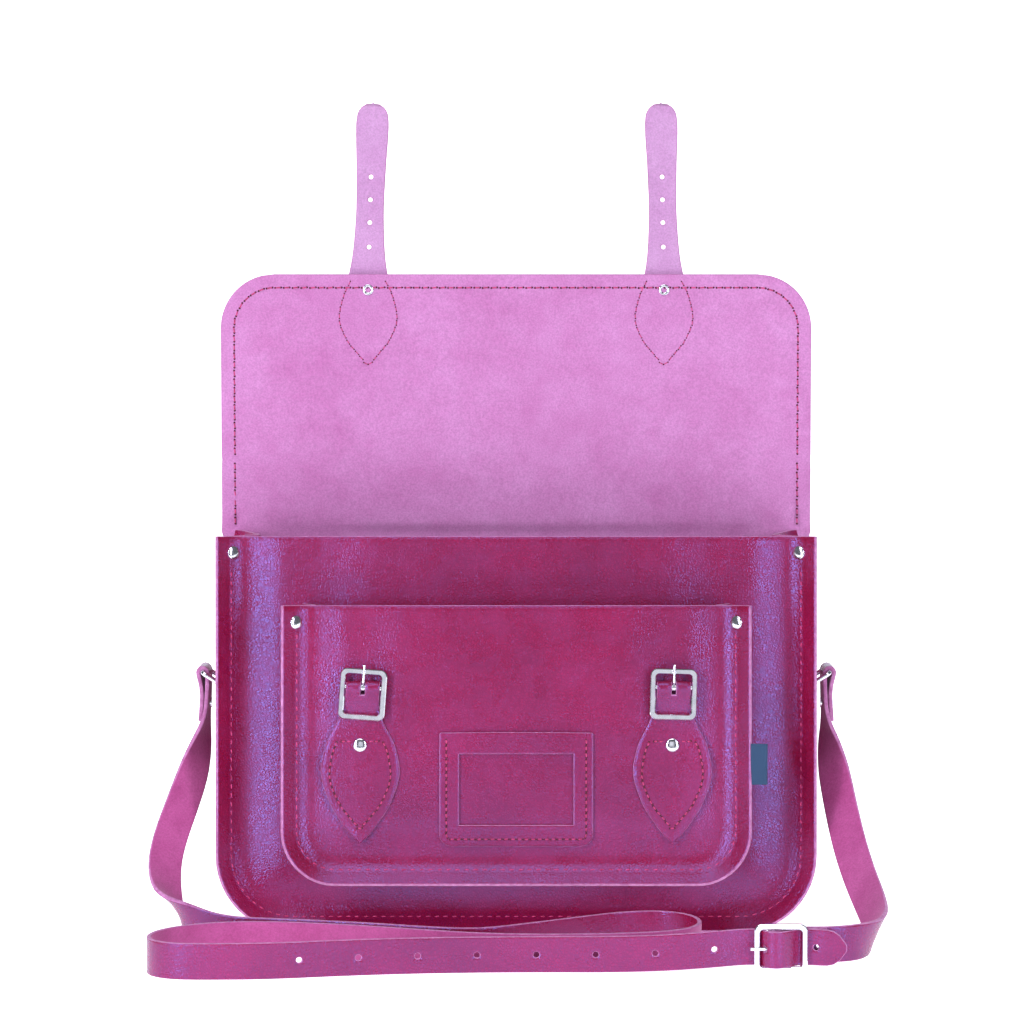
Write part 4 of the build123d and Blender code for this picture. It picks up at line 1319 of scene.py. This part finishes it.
def ring_lap(side, swing, looks):
    """The end of a shoulder strap, folded over the ring and riveted down outside the main run."""
    bar_x, bar_z = ring_outer.x, ring_outer.z
    corners = []
    for step in range(5):
        angle = radians(180 - 45 * step)
        corners.append((bar_x + ring_lap_radius * cos(angle), bar_z + ring_lap_radius * sin(angle)))
    corners += [(bar_x + 0.0020, bar_z - 0.009), (bar_x + 0.0016, bar_z - 0.0155), (bar_x + 0.0027, 0.1240)]
    line = rounded_line([(side * x, ring_outer.y, z) for x, z in corners], 0.003, 4, 0.002)
    name = "left" if side < 0 else "right"
    piece = strap_piece(
        f"ring_lap_{name}", line, (0, -side, 0), lambda s: strap_half, strap_leather, looks, spacing=0.002
    )
    finish_piece(piece, swing, "strap_leather")


def buckle_lap():
    """The short strap's end, folded round the shoulder buckle's centre bar."""
    x, y, z = 0.1451, -0.1424, 0.01375
    corners = [(0.160, -0.1314)]
    for step in range(7):
        angle = radians(80 + 36 * step)
        corners.append((x + fold_radius * cos(angle), y + fold_radius * sin(angle)))
    corners += [(0.156, -0.1386), (0.1755, -0.1364)]
    line = rounded_line([(px, py, z) for px, py in corners], 0.003, 4, 0.002)
    looks = [grain, strap_flesh, edge]
    piece = strap_piece(
        "buckle_lap", line, (0, 0, -1), lambda s: strap_half, tongue_leather, looks, spacing=0.002
    )
    finish_piece(piece, "root", "strap_leather")


def cap_rivet(name, place, normal, matrix, body, *nodes):
    """A domed rivet cap that sits on a point of a panel, given in the panel's own frame."""
    seat = placed(place, Vector((0, 1, 0)).cross(normal).normalized(), normal)
    dome = [(0.0036, -0.0012), (0.0039, -0.0002), (0.0041, 0.0004), (0.0040, 0.0008)]
    for step in range(1, 8):
        angle = radians(90 * step / 7)
        dome.append((0.0039 * cos(angle) + 0.0001, 0.0008 + 0.0010 * sin(angle)))
    lathe(name, dome, matrix @ seat, nickel, body, "nickel", *nodes)


def front_rivets():
    """The rivets at the top corners of the front panel and the pocket, and on the buckle tabs."""
    for side, name in ((-1, "left"), (1, "right")):
        corners = (
            ("front", front_plane, body_width, body_height, body_rivet, body_swell),
            ("pocket", pocket_plane, pocket_width, pocket_height, pocket_rivet, pocket_bulge),
        )
        for body, plane, width, top, (drop, inset), depth in corners:
            spot, normal = rim_place(width, top, side, top - drop, inset, depth)
            nodes = [f"{body}_corner_rivets"] if side < 0 else []
            cap_rivet(f"{body}_rivet_{name}", spot, normal, plane, body, *nodes)
        x = side * tab_x
        spot = Vector((x, tab_rivet, tab_leather + pocket_swell(x, tab_pivot - 0.02) + 0.0004))
        node = f"buckle_tab_rivet_{name}"
        cap_rivet(f"tab_rivet_{name}", spot, Vector((0, 0, 1)), pocket_plane, "pocket", node)


def hardware():
    """The metal parts of the frame, in nickel."""
    metal = ("buckle_frame", "buckle_prong", "side_ring", "rivet", "shoulder_buckle")
    for name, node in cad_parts.items():
        if any(word in name for word in metal):
            for slot in node.material_slots:
                slot.material = nickel


thread = thread_look()
# The stitch holes' dark colour is painted shade.
stitch_hole_shade = hole_shade_look()
grain = grain_look()
flesh = flesh_look("flesh_side", (206, 120, 176), (160, 60, 118))
flap_flesh = flesh_look("flap_flesh", (212, 154, 206), (176, 92, 154))
strap_flesh = flesh_look("strap_flesh", (204, 104, 168), (150, 44, 108))
tip_flesh = flesh_look("tip_flesh", (212, 172, 212), (170, 108, 164))
edge = edge_look()
nickel = nickel_look()
tag = tag_look()

studio()
shoulder_straps()
buckle_lap()
front()
back_and_flap()
gussets()
pocket()
flap_straps()
buckle_tabs()
label_holder()
side_tag()
side_chapes()
front_rivets()
hardware()
